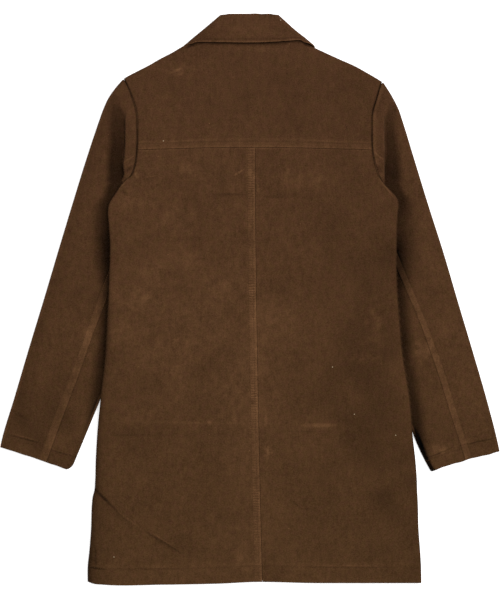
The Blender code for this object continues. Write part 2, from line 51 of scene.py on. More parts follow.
SEAM_GAP = 0.0003
LAYER = 0.0058  # from the middle of a front's wall to the middle of the back's wall above it
LAP = 0.0029  # rise of the left front where it laps the right front
LIFT = 0.0058  # rise of the body over the sleeves that lie under its sides
NECK_LIFT = 0.0026  # rise of the body over the front of the collar

# Edge of the body from shoulder tip to hem: y, left x, right x
BODY_EDGE = (
    (0.3530, -0.2026, 0.2148),
    (0.3470, -0.1990, 0.2114),
    (0.3200, -0.1874, 0.2025),
    (0.2960, -0.1808, 0.1959),
    (0.2700, -0.1799, 0.1952),
    (0.2380, -0.1806, 0.1960),
    (0.2120, -0.1842, 0.2010),
    (0.1980, -0.1895, 0.2056),
    (0.1870, -0.2012, 0.2115),
    (0.1780, -0.2088, 0.2190),
    (0.1700, -0.2140, 0.2275),
    (0.1620, -0.2195, 0.2343),
    (0.1510, -0.2256, 0.2374),
    (0.1390, -0.2272, 0.2362),
    (0.1200, -0.2260, 0.2351),
    (0.0970, -0.2242, 0.2346),
    (0.0300, -0.2252, 0.2347),
    (-0.0310, -0.2281, 0.2388),
    (-0.0920, -0.2317, 0.2445),
    (-0.1640, -0.2396, 0.2557),
    (-0.2150, -0.2447, 0.2599),
    (-0.2600, -0.2474, 0.2652),
    (-0.2900, -0.2482, 0.2676),
    (-0.3060, -0.2494, 0.2681),
    (-0.3180, -0.2524, 0.2687),
    (-0.3290, -0.2535, 0.2692),
    (-0.3670, -0.2548, 0.2702),
    (-0.4060, -0.2578, 0.2730),
    (-0.4250, -0.2599, 0.2741),
    (-0.4580, -0.2603, 0.2749),
)
TIP_Y = 0.3470
TIP_CLEAR = 0.0020
YOKE_END_Y = 0.2380
STRIP_FULL_Y = 0.1980  # the sleeve's cap lies level with the body above this
STRIP_END_Y = 0.1870  # and has gone under the body's edge below this
UNDER_SLEEVE_TOP_Y = 0.1700

# Hem of the back from left to right, and the straight hem of the fronts under it
HEM_EDGE = (
    (-0.2603, -0.4526),
    (-0.2500, -0.4564),
    (-0.2380, -0.4576),
    (-0.1400, -0.4576),
    (-0.1000, -0.4570),
    (-0.0440, -0.4555),
    (0.0100, -0.4530),
    (0.0400, -0.4531),
    (0.0900, -0.4546),
    (0.1500, -0.4548),
    (0.2400, -0.4548),
    (0.2749, -0.4548),
)
FRONT_HEM_Y = -0.4505

# Shoulder from neck to tip: y, left x, right x
SHOULDER = (
    (0.4165, -0.0784, 0.0784),
    (0.4050, -0.1048, 0.0965),
    (0.3939, -0.1240, 0.1197),
    (0.3840, -0.1432, 0.1417),
    (0.3730, -0.1624, 0.1665),
    (0.3632, -0.1816, 0.1842),
    (0.3520, -0.2016, 0.2034),
    (0.3470, -0.2064, 0.2114),
)
SHOULDER_INSET = 0.0003

# Seams of the back, and neckline
YOKE_ARCH = 0.0045
CENTRE_TOP_X = 0.0082
CENTRE_HEM_X = 0.0200
CENTRE_BEND = 1.6
NECK_Y = SHOULDER[0][0]
NECK_HALF = SHOULDER[0][2]
NECK_SOFT = 0.0040
BACK_NECK_RISE = 0.0020
FRONT_NECK_DROP = 0.0990
YOKE_NECK_SHARE = 5 / 16  # share of the yoke's columns that end on one shoulder
FRONT_NECK_SHARE = 0.46

# Fronts
FRONT_CENTRE_X = 0.0050
LAP_HALF = 0.0250
LAP_SLOPE = 0.0060
LAP_CLEAR = 0.0020
FRONT_ROLL_FADE = 0.0300  # length over which the front's side starts to roll below the underarm

# Rise of the body: where it is level, and how far it slopes away
NECK_CENTRE = (0.0, 0.3780)
NECK_LEVEL_REACH = 0.1150
NECK_SLOPE = 0.0800
SIDE_LEVEL_REACH = 0.0180
SIDE_SLOPE = 0.0500
SIDE_FADE = 0.0750
SIDE_FADE_START = 0.0100
TIP_DROP = 0.55

# Outer edge of the sleeves: y, left x, right x
SLEEVE_OUTER = (
    (0.3520, -0.2030, 0.2098),
    (0.3470, -0.2074, 0.2132),
    (0.3432, -0.2108, 0.2157),
    (0.3240, -0.2255, 0.2279),
    (0.3048, -0.2348, 0.2379),
    (0.2856, -0.2417, 0.2444),
    (0.2280, -0.2610, 0.2621),
    (0.1512, -0.2848, 0.2856),
    (0.0744, -0.3080, 0.3101),
    (-0.0024, -0.3308, 0.3327),
    (-0.0792, -0.3542, 0.3556),
    (-0.1560, -0.3769, 0.3780),
    (-0.2328, -0.3994, 0.3976),
    (-0.2460, -0.4020, 0.4004),
)

# Seam along the upper side of the sleeves: y, left x, right x
SLEEVE_SEAM = (
    (0.1700, -0.1680, 0.1880),
    (0.1000, -0.1935, 0.2155),
    (0.0300, -0.2200, 0.2440),
    (-0.0340, -0.2437, 0.2708),
    (-0.1200, -0.2744, 0.3016),
    (-0.2110, -0.3084, 0.3298),
    (-0.2780, -0.3322, 0.3510),
)

# Rows across the sleeves: y at the inner edge, lead of the outer edge over it
SLEEVE_ROWS = (
    (0.3500, 0.0010),
    (0.3440, 0.0016),
    (0.3200, 0.0070),
    (0.2960, 0.0110),
    (0.2700, 0.0100),
    (0.2380, 0.0060),
    (0.2120, 0.0030),
    (0.1980, 0.0010),
    (0.1870, 0.0000),
    (0.1700, -0.0020),
    (0.1460, -0.0040),
    (0.0970, -0.0060),
    (0.0300, -0.0030),
    (-0.0310, 0.0030),
    (-0.0920, 0.0100),
    (-0.1640, 0.0190),
    (-0.2150, 0.0260),
)

# Flat height of the sleeves, from the middle of one wall to the middle of the other
SLEEVE_PRESSED = 0.0027
SLEEVE_OPEN = 0.0057
SLEEVE_SWELL_START = 0.0040
SLEEVE_SWELL_END = 0.0450

# Pleat where the sleeve's cap drops below the body
STRIP = 0.0190
STEP_HALF = 0.0013
DROP_CLEARANCE = 0.0003
DROP_REACH = 0.0300
UNDER_STEP = (0.0040, 0.0130)
PLEAT_FADE = (0.2850, 0.3200)
SOFT_STEP = (0.0020, 0.0450)
SOFT_UNDER_STEP = (0.0010, 0.0350)
STRIP_MOST = 0.4
STRIP_BEND = 0.5
# Edge of the sleeve's top piece turned in under the next piece: reach, drop
FLANGE = (
    (0.0045, 0.0026),
    (0.0034, 0.0026),
    (0.0025, 0.0025),
    (0.0017, 0.0021),
    (0.0010, 0.0014),
    (0.0004, 0.0006),
)
FLANGE_UNDER_SLEEVE = 0.8
UNDERARM_RISE = 0.0016  # small rise that closes the sleeve to the front's edge at the underarm
UNDERARM_HALF = (0.0040, 0.0050)

# Hidden side of the sleeves under the body
TUCK = 0.0620
TUCK_SKEW = 0.7
UNDER_LEAST = 0.0040
FRONT_SEAM_INSET = 0.0300
FRONT_SEAM_TAPER = 0.3
SEAM_FIRST_SHARE = 0.6
SEAM_ROUNDS = 6

# Sleeves. The column is theirs in tables of left and right values. A sleeve's inner fold emerges from
# under the body at one height and splays out to the cuff, whose two ends lie at two heights
SHAPE_FIELDS = "name side column tip_y emerge splay sag"
CUFF_FIELDS = "cuff_outer cuff_inner cuff_round cuff_bow strip_taper stitch"
Sleeve = namedtuple("Sleeve", f"{SHAPE_FIELDS} {CUFF_FIELDS}")
LEFT = Sleeve("left", -1, 1, 0.352, -0.16, 0.414, 0.0, -0.2372, -0.2725, 0.009, 0.0009, 0.03, 0.0112)
RIGHT = Sleeve("right", 1, 2, 0.347, -0.2115, 0.47, 0.0018, -0.2446, -0.2754, 0.002, 0.002, 0.052, 0.0088)
CUFF_FADE = (0.09, 0.01)  # heights over the cuff between which its uneven line fades in
CUFF_WAVES = ((0.22, 17, 1), (0.15, 31, 0))  # height, turns and phase of the waves on the cuff's bow

# Collar: left half of its fold axis, back columns and front ends
AXIS_ROLL = (-0.0387, 0.4532)
AXIS_NECK = (-0.0774, 0.4190)
AXIS_FALL = (-0.1020, 0.3971)
BACK_FALL_REACH = (0.80, 0.76)  # share of the axis where the back's fall turns under, left and right
FALL_REACH_BEND = 2.2
AXIS_ROUND = 0.0060
# Columns across its back: roll x, roll y, fall x, fall y, share of the neckline's half width
COLLAR_BACK = (
    (-0.0387, 0.4532, -0.0893, 0.4083, 0.987),
    (-0.0360, 0.4539, -0.0862, 0.4098, 0.93),
    (-0.0310, 0.4542, -0.0800, 0.4108, 0.80),
    (-0.0200, 0.4541, -0.0560, 0.4107, 0.52),
    (0.0, 0.4540, 0.0, 0.4098, 0.0),
    (0.0100, 0.4544, 0.0255, 0.4103, -0.27),
    (0.0200, 0.4538, 0.0560, 0.4122, -0.52),
    (0.0310, 0.4543, 0.0780, 0.4137, -0.80),
    (0.0360, 0.4540, 0.0838, 0.4127, -0.93),
    (0.0387, 0.4532, 0.0868, 0.4106, -0.987),
)
# Sideways set of the roll and fall as the collar lies: y, left end, right end
COLLAR_SET = (
    (0.4560, -0.0006, -0.0010),
    (0.4300, -0.0018, -0.0012),
    (0.4140, -0.0028, 0.0000),
    (0.4060, -0.0028, 0.0000),
    (0.3900, -0.0030, -0.0010),
)
COLLAR_SET_REACH = 0.0500
STAND_SHARES = (0, 0.02, 0.06, 0.15, 0.3, 0.45, 0.6, 0.75, 0.9, 1)
COLLAR_END_X = -0.0360
ROLL_BEND = (-0.0380, 0.3900)
ROLL_END = (-0.0230, 0.3660)
FALL_BEND = (-0.0980, 0.3300)
FALL_END = (-0.0580, 0.3000)
COLLAR_GAP = 0.0005
COLLAR_FRONT_LENGTH = 0.1000
FRONT_COLUMNS = 36
TURN_COLUMNS = 17
BACK_COLUMNS = 73
FALL_LINES = 24
FALL_LINES_END = 0.94
FALL_EDGE_SHARES = (0.962, 0.978, 0.988, 0.995, 1.0)
FALL_WIDTH = (0.055, 0.050)  # distances from the fall's edge between which the roll begins

# Lines of the grids: distances from a panel's edge, and spacing between them
EDGE_PLACES = (0.0, 0.0002, 0.0006, 0.0012, 0.0022, 0.0040)
CENTRE_PLACES = (0.0, 0.0002, 0.0006, 0.0012, 0.0022, 0.0034, 0.0048, 0.0062, 0.0077, 0.0092, 0.0107, 0.0122,
                 0.0137, 0.0155, 0.0180)
ROLL_ANGLES = (0, 8, 18, 30, 42, 54, 66, 78, 90)
FOLD_ANGLES = (75, 60, 45, 30, 15, 0, -15, -30, -45, -60, -75)
BEND_ANGLES = (-75, -50, -25, 0, 25, 50, 75)
STEP_PLACES = (-2.2, -1.4, -1.0, -0.6, -0.2, 0.2, 0.6, 1.0, 1.4, 2.2)
STRIP_SHARES = (0.25, 0.5, 0.75)
RIM_SHARES = (0.25, 0.5, 0.69, 0.83, 0.91, 0.955, 0.985, 1.0)
SEAM_SHARES = (0.0, 0.004, 0.012, 0.03, 0.07)
SQUEEZE_LENGTH = 0.0550  # lines draw closer where the sleeve is narrower than this
UNDER_PIECE_CLEAR = 0.0004
UPPER_COLUMNS = 42  # columns of the sleeve's top piece beyond its pleat
LOWER_COLUMNS = 16  # and on its lower wall
UNDER_PIECE_UPPER = (0.12, 1.0, 22)  # shares and number of the under piece's columns above the fold
UNDER_PIECE_LOWER = (0.0, 0.85, 8)  # and below it
FINE = 0.0026
COARSE = 0.0060
BACK_LENGTH = 0.692
YOKE_LENGTH = 0.150
FRONT_LENGTH = 0.800

# Sewing: distance of the stitched lines from their edges
YOKE_STITCH = 0.0094
CENTRE_STITCHES = (0.0048, 0.0122)
HEM_STITCH = 0.0262
CUFF_STITCH = 0.0200
COLLAR_STITCH = 0.0056
STITCH_PITCH = 0.0034
STITCH_LENGTH = 0.0026
STITCH_HALF = 0.00036
STITCH_UNEVEN = 0.10
STITCH_SEED = 5
STITCH_SIDES = 6
# Rings of one stitch: place along it, half width, lift
STITCH_RINGS = (
    (-0.5, 0.25, -0.9),
    (-0.42, 0.75, -0.2),
    (-0.2, 1.0, 0.35),
    (0.2, 1.0, 0.35),
    (0.42, 0.75, -0.2),
    (0.5, 0.25, -0.9),
)
GROOVE = 0.00035
GROOVE_HALF = 0.0011
PUCKER_WAVE = 0.0041
PUCKER_DRIFT = 1.5
PUCKER_SWING = 0.45
PUCKER_TURNS = (41, 23, 57)  # slow waves that make the gathering uneven, in radians a metre
SEAM_STITCH_TOP_Y = UNDER_SLEEVE_TOP_Y - 0.0100
# Stitched lines of each panel: edge, distance from it, greatest height
CUFF_LINE = ("end_v", CUFF_STITCH, NECK_Y)
HEM_LINE = ("start_v", HEM_STITCH, NECK_Y)
SEWING = {
    "back_yoke": (("start_v", YOKE_STITCH, NECK_Y),),
    "back_left": (*(("end_u", place, NECK_Y) for place in CENTRE_STITCHES), HEM_LINE),
    "back_right": (HEM_LINE,),
    "collar": (("end_v", COLLAR_STITCH, NECK_Y),),
    "sleeve_left_top": (("seam_u", LEFT.stitch, SEAM_STITCH_TOP_Y), CUFF_LINE),
    "sleeve_right_top": (("seam_u", RIGHT.stitch, SEAM_STITCH_TOP_Y), CUFF_LINE),
    "sleeve_left_under": (CUFF_LINE,),
    "sleeve_right_under": (CUFF_LINE,),
}

# Sewn marks: edge, form, place, width, wear and painted light, painted shade, rise. A line lies at its place
# and fades over its width on both sides. A band is level from the edge to its place and fades over its width
# beyond it. Light marks are wear and painted highlights on ridges and beside seams; shade marks are painted
# shade in grooves and along seams
# Back: painted shade in the hem's stitched groove, wear and painted highlights beside the hem and the seams
BACK_MARKS = {
    "both": (
        ("hem", "line", HEM_STITCH, GROOVE_HALF, 0, 0.15, -GROOVE),
        ("hem", "line", HEM_STITCH + 0.0030, 0.0030, 0.10, 0, 0),
        ("hem", "line", 0.5 * HEM_STITCH, 0.5 * HEM_STITCH, 0, 0, 0.00025),
        ("seam", "line", 0, 0.0018, 0.28, 0, 0),
        ("seam", "line", 0, 0.0030, 0, 0, -0.0003),
    ),
    "left": (
        ("centre", "band", 0.0110, 0.0050, 0.13, 0, 0.00020),
        ("centre", "band", 0.0040, 0.0070, 0.15, 0, 0),
        ("centre", "line", 0.0010, 0.0012, 0.20, 0, 0),
    ),
    "right": (
        ("centre", "line", 0, 0.0022, 0, 0, -0.0002),
        ("centre", "line", 0, 0.0018, 0.13, 0, 0),
    ),
}
# Yoke: painted shade in its stitched groove and along its armholes, painted highlights beside its seam
YOKE_MARKS = (
    ("seam", "band", YOKE_STITCH - 0.0010, 0.0050, 0.14, 0, 0.00030),
    ("seam", "line", YOKE_STITCH, GROOVE_HALF, 0, 0.17, -GROOVE),
    ("seam", "line", 0.0015, 0.0012, 0.22, 0, 0),
    ("seam", "line", YOKE_STITCH + 0.0024, 0.0016, 0.24, 0, 0),
    ("left", "line", 0, 0.0015, 0, 0.95, 0),
    ("left", "line", 0, 0.0020, 0, 0, -0.0003),
    ("right", "line", 0, 0.0016, 0, 0.95, 0),
    ("right", "line", 0, 0.0020, 0, 0, -0.0003),
)
# Sleeves: painted shade in the stitched grooves, and a stitched band lighter from wear and painted highlight
CUFF_MARKS = (("cuff", "line", CUFF_STITCH, GROOVE_HALF, 0, 0.12, -0.8 * GROOVE),)
SEAM_MARKS = {
    "top": (
        ("stitch", "band", 0, 0.0020, 0.26, 0, 0.0004),
        ("stitch", "line", 0, GROOVE_HALF, 0, 0, -0.7 * GROOVE),
        ("stitch", "line", 0.0015, GROOVE_HALF, 0, 0.15, 0),
        ("seam", "line", 0.0014, 0.0012, 0.08, 0, 0),
    ),
    "under": (
        ("seam", "line", 0, 0.0022, 0, 0, -0.0004),
        ("seam", "line", 0, 0.0014, 0, 0.35, 0),
    ),
}
# Armholes of the sleeves: painted shade along the seam, lighter nap beside it from wear and painted highlight
ARMHOLE_MARKS = {
    "left": (("seam", "line", 0, 0.0015, 0, 0.95, 0), ("seam", "line", 0.0040, 0.0030, 0.04, 0, 0)),
    "right": (("seam", "line", 0, 0.0010, 0, 0.95, 0), ("seam", "line", 0.0040, 0.0030, 0.24, 0, 0)),
}
# Collar: painted shade in its stitched groove, and a painted highlight along the fall's rolled edge
COLLAR_MARKS = (
    ("fall", "line", COLLAR_STITCH, GROOVE_HALF, 0, 0.34, -GROOVE),
    ("fall", "line", 0.0024, 0.0020, 0, 0, 0.0005),
    ("fall", "line", 0.0010, 0.0011, 0.55, 0, 0),
)
# Shade along the back's armholes: depth, half width
BODY_ARMHOLE = {"left": (0.95, 0.0015), "right": (0.95, 0.0016)}
# Gathering at stitched lines: height, seed, distance from the edge, half width
CENTRE_GATHER = (0.00020, 1, 0.0062, 0.0045)
YOKE_GATHER = (0.00008, 4, YOKE_STITCH, 0.0040)
COLLAR_GATHER = (0.00012, 2)  # all over the fall
# Rungs of the centre seam's ladder: distances from it between which they begin and between which they end
LADDER_START = (0.0012, 0.0022)
LADDER_END = (0.0105, 0.0130)
# Waves in their strength: mean, swing, turns, phase
LADDER_WAVES = ((0.6, 0.4, 37, 1), (0.75, 0.25, 113, 0))
# Hollow of the yoke under the collar's fall
FALL_HOLLOW = (-0.0080, 0.0060)  # from under the fall's edge to clear of it
FALL_HOLLOW_DEPTH = 0.0014
FALL_HOLLOW_SHADE = 0.85
FALL_HOLLOW_ENDS = (0.092, 0.104)

# Unevenness of the cloth: height, wave length, seed
BACK_UNEVEN = ((0.00022, 0.090, 3), (0.00010, 0.030, 4))
SLEEVE_UNEVEN = ((0.00028, 0.080, 7), (0.00010, 0.028, 8))
COLLAR_UNEVEN = ((0.00022, 0.045, 21),)
CREASE_WANDER = 0.3  # sideways wander of a crease, in half widths
CREASE_SWING = 0.3  # share of its height that comes and goes along it
CREASE_BEAT = 0.43  # length over which it does, as a share of the crease
CREASE_TONE = 0.12  # wear and painted highlight on its ridge, painted shade in its trough
CREASE_FULL = (0.0012, 0.0006)  # height and depth that get all of it
PATCH_RAGGED = 0.35
PATCH_SEED = 11
# Creases of the back: start x, y, end x, y, bow, height, half width
CREASES = (
    (-0.215, -0.1990, 0.155, -0.2020, 0.001, 0.0006, 0.0060),  # fold of storage across the skirt
    (-0.225, -0.2170, 0.130, -0.2120, -0.002, -0.0003, 0.0030),
    (-0.092, 0.1640, 0.130, 0.1640, 0.002, -0.0006, 0.0028),  # trough under the yoke
    (-0.127, 0.0940, 0.128, 0.0930, -0.001, -0.0003, 0.0030),
    (0.033, -0.1176, 0.105, -0.0984, 0.003, -0.0004, 0.0030),
    (-0.243, -0.3080, -0.190, -0.3650, -0.004, -0.0010, 0.0038),  # fold over the left hem corner
    (-0.236, -0.2960, -0.180, -0.3560, -0.004, 0.0006, 0.0060),
    (-0.170, -0.3740, -0.112, -0.4060, -0.002, -0.0006, 0.0026),
    (-0.248, -0.4016, 0.010, -0.4016, 0.001, -0.0002, 0.0026),
    (0.066, -0.3250, 0.083, -0.3350, 0.001, -0.0005, 0.0026),
    (0.083, -0.3350, 0.102, -0.3370, 0.001, -0.0004, 0.0026),
    (-0.205, 0.1650, -0.150, 0.1850, 0.004, 0.0007, 0.0050),  # pulls at the underarms
    (-0.215, 0.1450, -0.145, 0.1500, 0.003, 0.0006, 0.0060),
    (0.225, 0.1500, 0.165, 0.1820, -0.004, 0.0006, 0.0060),
    (0.230, 0.0610, 0.190, 0.0660, 0.001, -0.0004, 0.0030),
    (-0.220, 0.0300, -0.160, 0.0120, 0.002, 0.0005, 0.0060),
    (0.185, -0.0900, 0.235, -0.1250, 0.003, 0.0005, 0.0060),
)
# Creases of the sleeves
SLEEVE_CREASES = (
    (-0.186, 0.2220, -0.198, 0.2080, 0.001, 0.0005, 0.0022),
    (0.200, 0.2260, 0.210, 0.2140, 0.001, 0.0005, 0.0022),
    (-0.300, -0.0200, -0.285, -0.1000, 0.003, 0.0006, 0.0060),
    (-0.385, -0.1880, -0.350, -0.2080, 0.002, -0.0008, 0.0040),
    (-0.255, 0.1400, -0.285, 0.0300, 0.004, 0.0007, 0.0120),
    (0.262, 0.1500, 0.300, 0.0200, -0.004, 0.0007, 0.0120),
    (0.285, 0.0040, 0.330, 0.0100, 0.002, -0.0006, 0.0040),
    (0.345, -0.1500, 0.375, -0.2050, 0.003, 0.0006, 0.0070),
)
# Thin marks on the nap, mostly painted shade and painted highlights of folds, edges and troughs: start x, y,
# end x, y, half width, amount, light above 0 and dark below it
STROKES = (
    (-0.2540, -0.2990, -0.2260, -0.3262, 0.0036, -0.36),  # painted shade and highlight of the fold over the left hem corner
    (-0.2420, -0.3100, -0.2060, -0.3464, 0.0030, -0.32),
    (-0.2150, -0.3365, -0.1760, -0.3665, 0.0018, 0.30),
    (-0.2150, -0.3400, -0.1860, -0.3630, 0.0016, -0.14),
    (-0.1730, -0.3674, -0.1290, -0.3982, 0.0019, -0.30),
    (-0.1600, -0.3720, -0.1180, -0.3990, 0.0014, 0.22),
    (-0.1580, -0.3762, -0.1060, -0.4098, 0.0019, -0.36),
    (-0.2478, -0.3930, -0.2464, -0.4380, 0.0022, -0.26),
    (-0.2600, -0.4280, -0.2280, -0.4335, 0.0022, -0.50),  # painted shade of the pucker at the hem's stitching
    (-0.3920, -0.2156, -0.3260, -0.2334, 0.0018, -0.36),  # painted shade and highlight along the turned-up edges of the cuffs
    (-0.3820, -0.2150, -0.3360, -0.2278, 0.0014, 0.26),
    (-0.3240, -0.2395, -0.2700, -0.2560, 0.0016, -0.32),
    (-0.2800, -0.2516, -0.2740, -0.2550, 0.0018, -0.60),
    (0.2800, -0.2560, 0.3300, -0.2356, 0.0018, -0.42),
    (0.3240, -0.2376, 0.4040, -0.2196, 0.0018, -0.44),
    (-0.3860, -0.1750, -0.3500, -0.1975, 0.0048, -0.16),
    (-0.2030, 0.2164, -0.1820, 0.2318, 0.0018, 0.36),  # painted highlight and shade of the pulls at the ends of the caps
    (-0.2000, 0.2026, -0.1850, 0.2144, 0.0040, -0.45),
    (0.1964, 0.2376, 0.2140, 0.2204, 0.0018, 0.50),
    (0.2016, 0.2160, 0.2116, 0.1990, 0.0044, -0.46),
    (-0.1830, 0.2084, -0.2140, 0.1700, 0.0020, 0.46),  # edges that catch the light
    (0.1970, 0.2210, 0.2090, 0.1880, 0.0018, 0.44),
    (0.2060, 0.1930, 0.2340, 0.1570, 0.0020, 0.44),
    (-0.1834, 0.2050, -0.1796, 0.1900, 0.0032, 0.36),
    (-0.1710, 0.1932, -0.1510, 0.1972, 0.0018, 0.30),
    (-0.2070, 0.1750, -0.1940, 0.1656, 0.0032, -0.22),
    (-0.1060, 0.4000, -0.0880, 0.4070, 0.0024, -0.45),  # painted shadow under the ends of the collar
    (0.0850, 0.4084, 0.1020, 0.4014, 0.0026, -0.55),
    (-0.0260, 0.1972, -0.0090, 0.2085, 0.0020, 0.60),  # brushed streaks
    (-0.1310, 0.3600, -0.1080, 0.3690, 0.0026, 0.45),
    (-0.1200, 0.3560, -0.1060, 0.3610, 0.0020, 0.25),
    (0.0126, 0.1850, 0.0140, 0.1650, 0.0032, 0.42),
    (-0.0680, 0.1684, 0.0000, 0.1672, 0.0024, -0.20),  # painted shade in the trough under the yoke
    (0.0160, 0.1638, 0.0660, 0.1630, 0.0030, -0.16),
    (0.0000, 0.2100, 0.0000, 0.1960, 0.0050, 0.30),
    (-0.0700, -0.1976, -0.0610, -0.1980, 0.0040, 0.32),  # lighter places along the fold of storage, painted shade in the creases beside it
    (-0.0256, -0.1780, -0.0250, -0.2030, 0.0038, 0.26),
    (0.0250, -0.1820, 0.0256, -0.2090, 0.0034, 0.34),
    (-0.1600, -0.1960, -0.0080, -0.1998, 0.0026, 0.16),
    (0.0780, -0.2020, 0.1440, -0.2016, 0.0044, 0.40),
    (0.0400, -0.2116, 0.1300, -0.2120, 0.0018, -0.12),
    (-0.2400, -0.2176, -0.1400, -0.2180, 0.0018, -0.12),
    (0.0640, -0.3220, 0.0850, -0.3355, 0.0018, -0.24),
    (0.0810, -0.3350, 0.1040, -0.3372, 0.0018, -0.20),
    (0.0860, -0.4264, 0.2240, -0.4272, 0.0013, 0.24),  # stitched line of the hem
    (0.0800, -0.4290, 0.2400, -0.4296, 0.0013, -0.18),
    (-0.2400, -0.4314, -0.0800, -0.4322, 0.0013, -0.18),
    (0.1520, 0.2810, 0.1570, 0.2660, 0.0014, -0.22),
)
STROKE_WOBBLE = 0.0014
STROKE_WAVES = 90.0
# Pale lint: x, y
LINT = (
    (0.1320, -0.1088),
    (0.1670, -0.1844),
    (0.2328, -0.2176),
    (-0.2176, -0.4128),
    (-0.1384, 0.2528),
    (0.0490, 0.4456),
)
LINT_RADIUS = 0.0011
# Places where the nap is lighter, or darker where negative: brushed nap in some, painted light and shade in
# others:
# x, y, half width, half height, amount
PATCHES = (
    (-0.111, 0.3660, 0.020, 0.008, 0.22),
    (-0.175, -0.0024, 0.020, 0.014, 0.30),
    (0.2008, -0.0424, 0.012, 0.030, 0.30),
    (0.1768, -0.0952, 0.016, 0.006, 0.25),
    (0.276, -0.0824, 0.014, 0.012, 0.45),
    (-0.0152, -0.4104, 0.012, 0.020, 0.25),
    (0.028, -0.2424, 0.005, 0.012, 0.50),
    (0.1208, -0.2056, 0.030, 0.006, 0.10),
    (-0.200, -0.1940, 0.022, 0.008, 0.14),
    (-0.260, -0.0580, 0.010, 0.020, 0.25),
    (0.306, -0.2405, 0.016, 0.006, 0.40),
    (0.348, -0.2270, 0.006, 0.005, 0.24),
    (0.058, 0.1960, 0.006, 0.016, 0.16),
    (-0.0105, 0.2270, 0.004, 0.010, -0.16),
    (0.030, 0.2340, 0.020, 0.008, -0.10),
    (-0.190, 0.1560, 0.014, 0.008, 0.18),
    (0.184, 0.2620, 0.012, 0.016, -0.16),
    (-0.045, -0.0300, 0.020, 0.050, 0.08),
    (0.185, -0.2500, 0.050, 0.040, -0.10),
    (-0.256, -0.0080, 0.020, 0.030, -0.12),
    (-0.195, -0.2150, 0.030, 0.030, -0.10),
    (-0.100, 0.2080, 0.012, 0.006, 0.30),
    (0.100, 0.1900, 0.030, 0.012, 0.20),
    (-0.120, 0.1300, 0.030, 0.020, 0.20),
    (-0.105, -0.0650, 0.095, 0.095, 0.20),
    (-0.170, 0.0300, 0.040, 0.090, 0.08),
    (-0.160, 0.2100, 0.025, 0.020, 0.12),
    (-0.045, 0.2100, 0.050, 0.040, 0.10),
    (0.055, 0.2500, 0.020, 0.030, 0.10),
    (0.012, -0.1400, 0.055, 0.220, 0.12),
    (-0.140, 0.3400, 0.030, 0.020, -0.08),
    (0.155, 0.3450, 0.030, 0.030, -0.14),
    (0.110, 0.3000, 0.090, 0.060, -0.09),
    (0.200, 0.0900, 0.050, 0.100, -0.10),
    (0.188, -0.1350, 0.060, 0.150, -0.23),
    (0.255, -0.3500, 0.035, 0.090, -0.18),
    (0.130, -0.4420, 0.110, 0.016, 0.04),
    (-0.110, -0.4400, 0.110, 0.020, 0.08),
    (-0.345, -0.2000, 0.060, 0.070, -0.22),
    (0.335, -0.0700, 0.030, 0.040, 0.12),
    (-0.070, 0.4280, 0.020, 0.014, -0.15),
    (0.0, 0.4330, 0.050, 0.020, 0.06),
    (0.020, 0.3990, 0.036, 0.003, 0.18),
)
# Shade on the sleeves beside the body: y, then depth, level reach and fade reach on the left and on the right
HOLLOW = (
    (0.3450, 0.00, 0.012, 0.040, 0.00, 0.010, 0.034),
    (0.3180, 0.22, 0.014, 0.040, 0.14, 0.012, 0.030),
    (0.2940, 0.48, 0.017, 0.034, 0.32, 0.012, 0.026),
    (0.2700, 0.60, 0.018, 0.033, 0.48, 0.013, 0.025),
    (0.2460, 0.70, 0.019, 0.033, 0.58, 0.015, 0.031),
    (0.2180, 0.78, 0.020, 0.033, 0.64, 0.018, 0.032),
    (0.2000, 0.80, 0.020, 0.033, 0.70, 0.019, 0.036),
    (0.1850, 0.78, 0.017, 0.032, 0.68, 0.020, 0.036),
    (0.1700, 0.76, 0.011, 0.027, 0.64, 0.014, 0.026),
    (0.1300, 0.82, 0.000, 0.036, 0.62, 0.000, 0.042),
    (0.0900, 0.93, 0.005, 0.036, 0.74, 0.002, 0.046),
    (0.0100, 0.86, 0.001, 0.024, 0.76, 0.003, 0.029),
    (-0.0340, 0.86, 0.001, 0.022, 0.68, 0.006, 0.026),
    (-0.1300, 0.75, 0.004, 0.025, 0.67, 0.006, 0.026),
    (-0.2150, 0.70, 0.005, 0.025, 0.75, 0.010, 0.029),
    (-0.2750, 0.60, 0.005, 0.025, 0.80, 0.010, 0.029),
)
# Shade inside the left edge of the back: y, depth and reach close to the edge, depth and reach wide of it
LEFT_MARGIN = (
    (0.0100, 0.00, 0.010, 0.00, 0.030),
    (-0.0420, 0.20, 0.011, 0.04, 0.022),
    (-0.1220, 0.05, 0.010, 0.02, 0.024),
    (-0.1860, 0.06, 0.010, 0.04, 0.026),
    (-0.2620, 0.15, 0.013, 0.17, 0.038),
    (-0.3300, 0.10, 0.017, 0.20, 0.055),
    (-0.3700, 0.12, 0.019, 0.22, 0.060),
    (-0.4400, 0.24, 0.025, 0.20, 0.050),
)
# Distances at which that shade on the sleeves starts and is full, below the strip and on it
HOLLOW_RAMP = ((-0.0005, 0.0015), (0.0010, 0.0060))
HOLLOW_RAMP_Y = (0.2000, 0.2300)
LEFT_EDGE_SHADE = (0.30, 0.0070)  # depth and half width at the left edge of the back
LEFT_EDGE_Y = (-0.05, 0.10)  # heights between which it fades away
RIGHT_EDGE_SHADE = (0.45, 0.0006, 0.0034)  # depth, level reach and fade reach at its right edge
RIGHT_EDGE_Y = (0.10, 0.16)
OUTER_SHADE = (0.20, 0.0340)  # depth and reach inside the outer edge of the left sleeve
OUTER_SHADE_TOP_Y = (0.31, 0.27)
OUTER_SHADE_LOW_Y = (-0.12, -0.22)
OUTER_SHADE_LESS = 0.6
INNER_SHADE = {"left": 0.20, "right": 1.00}  # shade on the fold along the sleeve's inner edge
INNER_SHADE_REACH = (0.0045, 0.0095)
INNER_SHADE_FADE = 0.0100

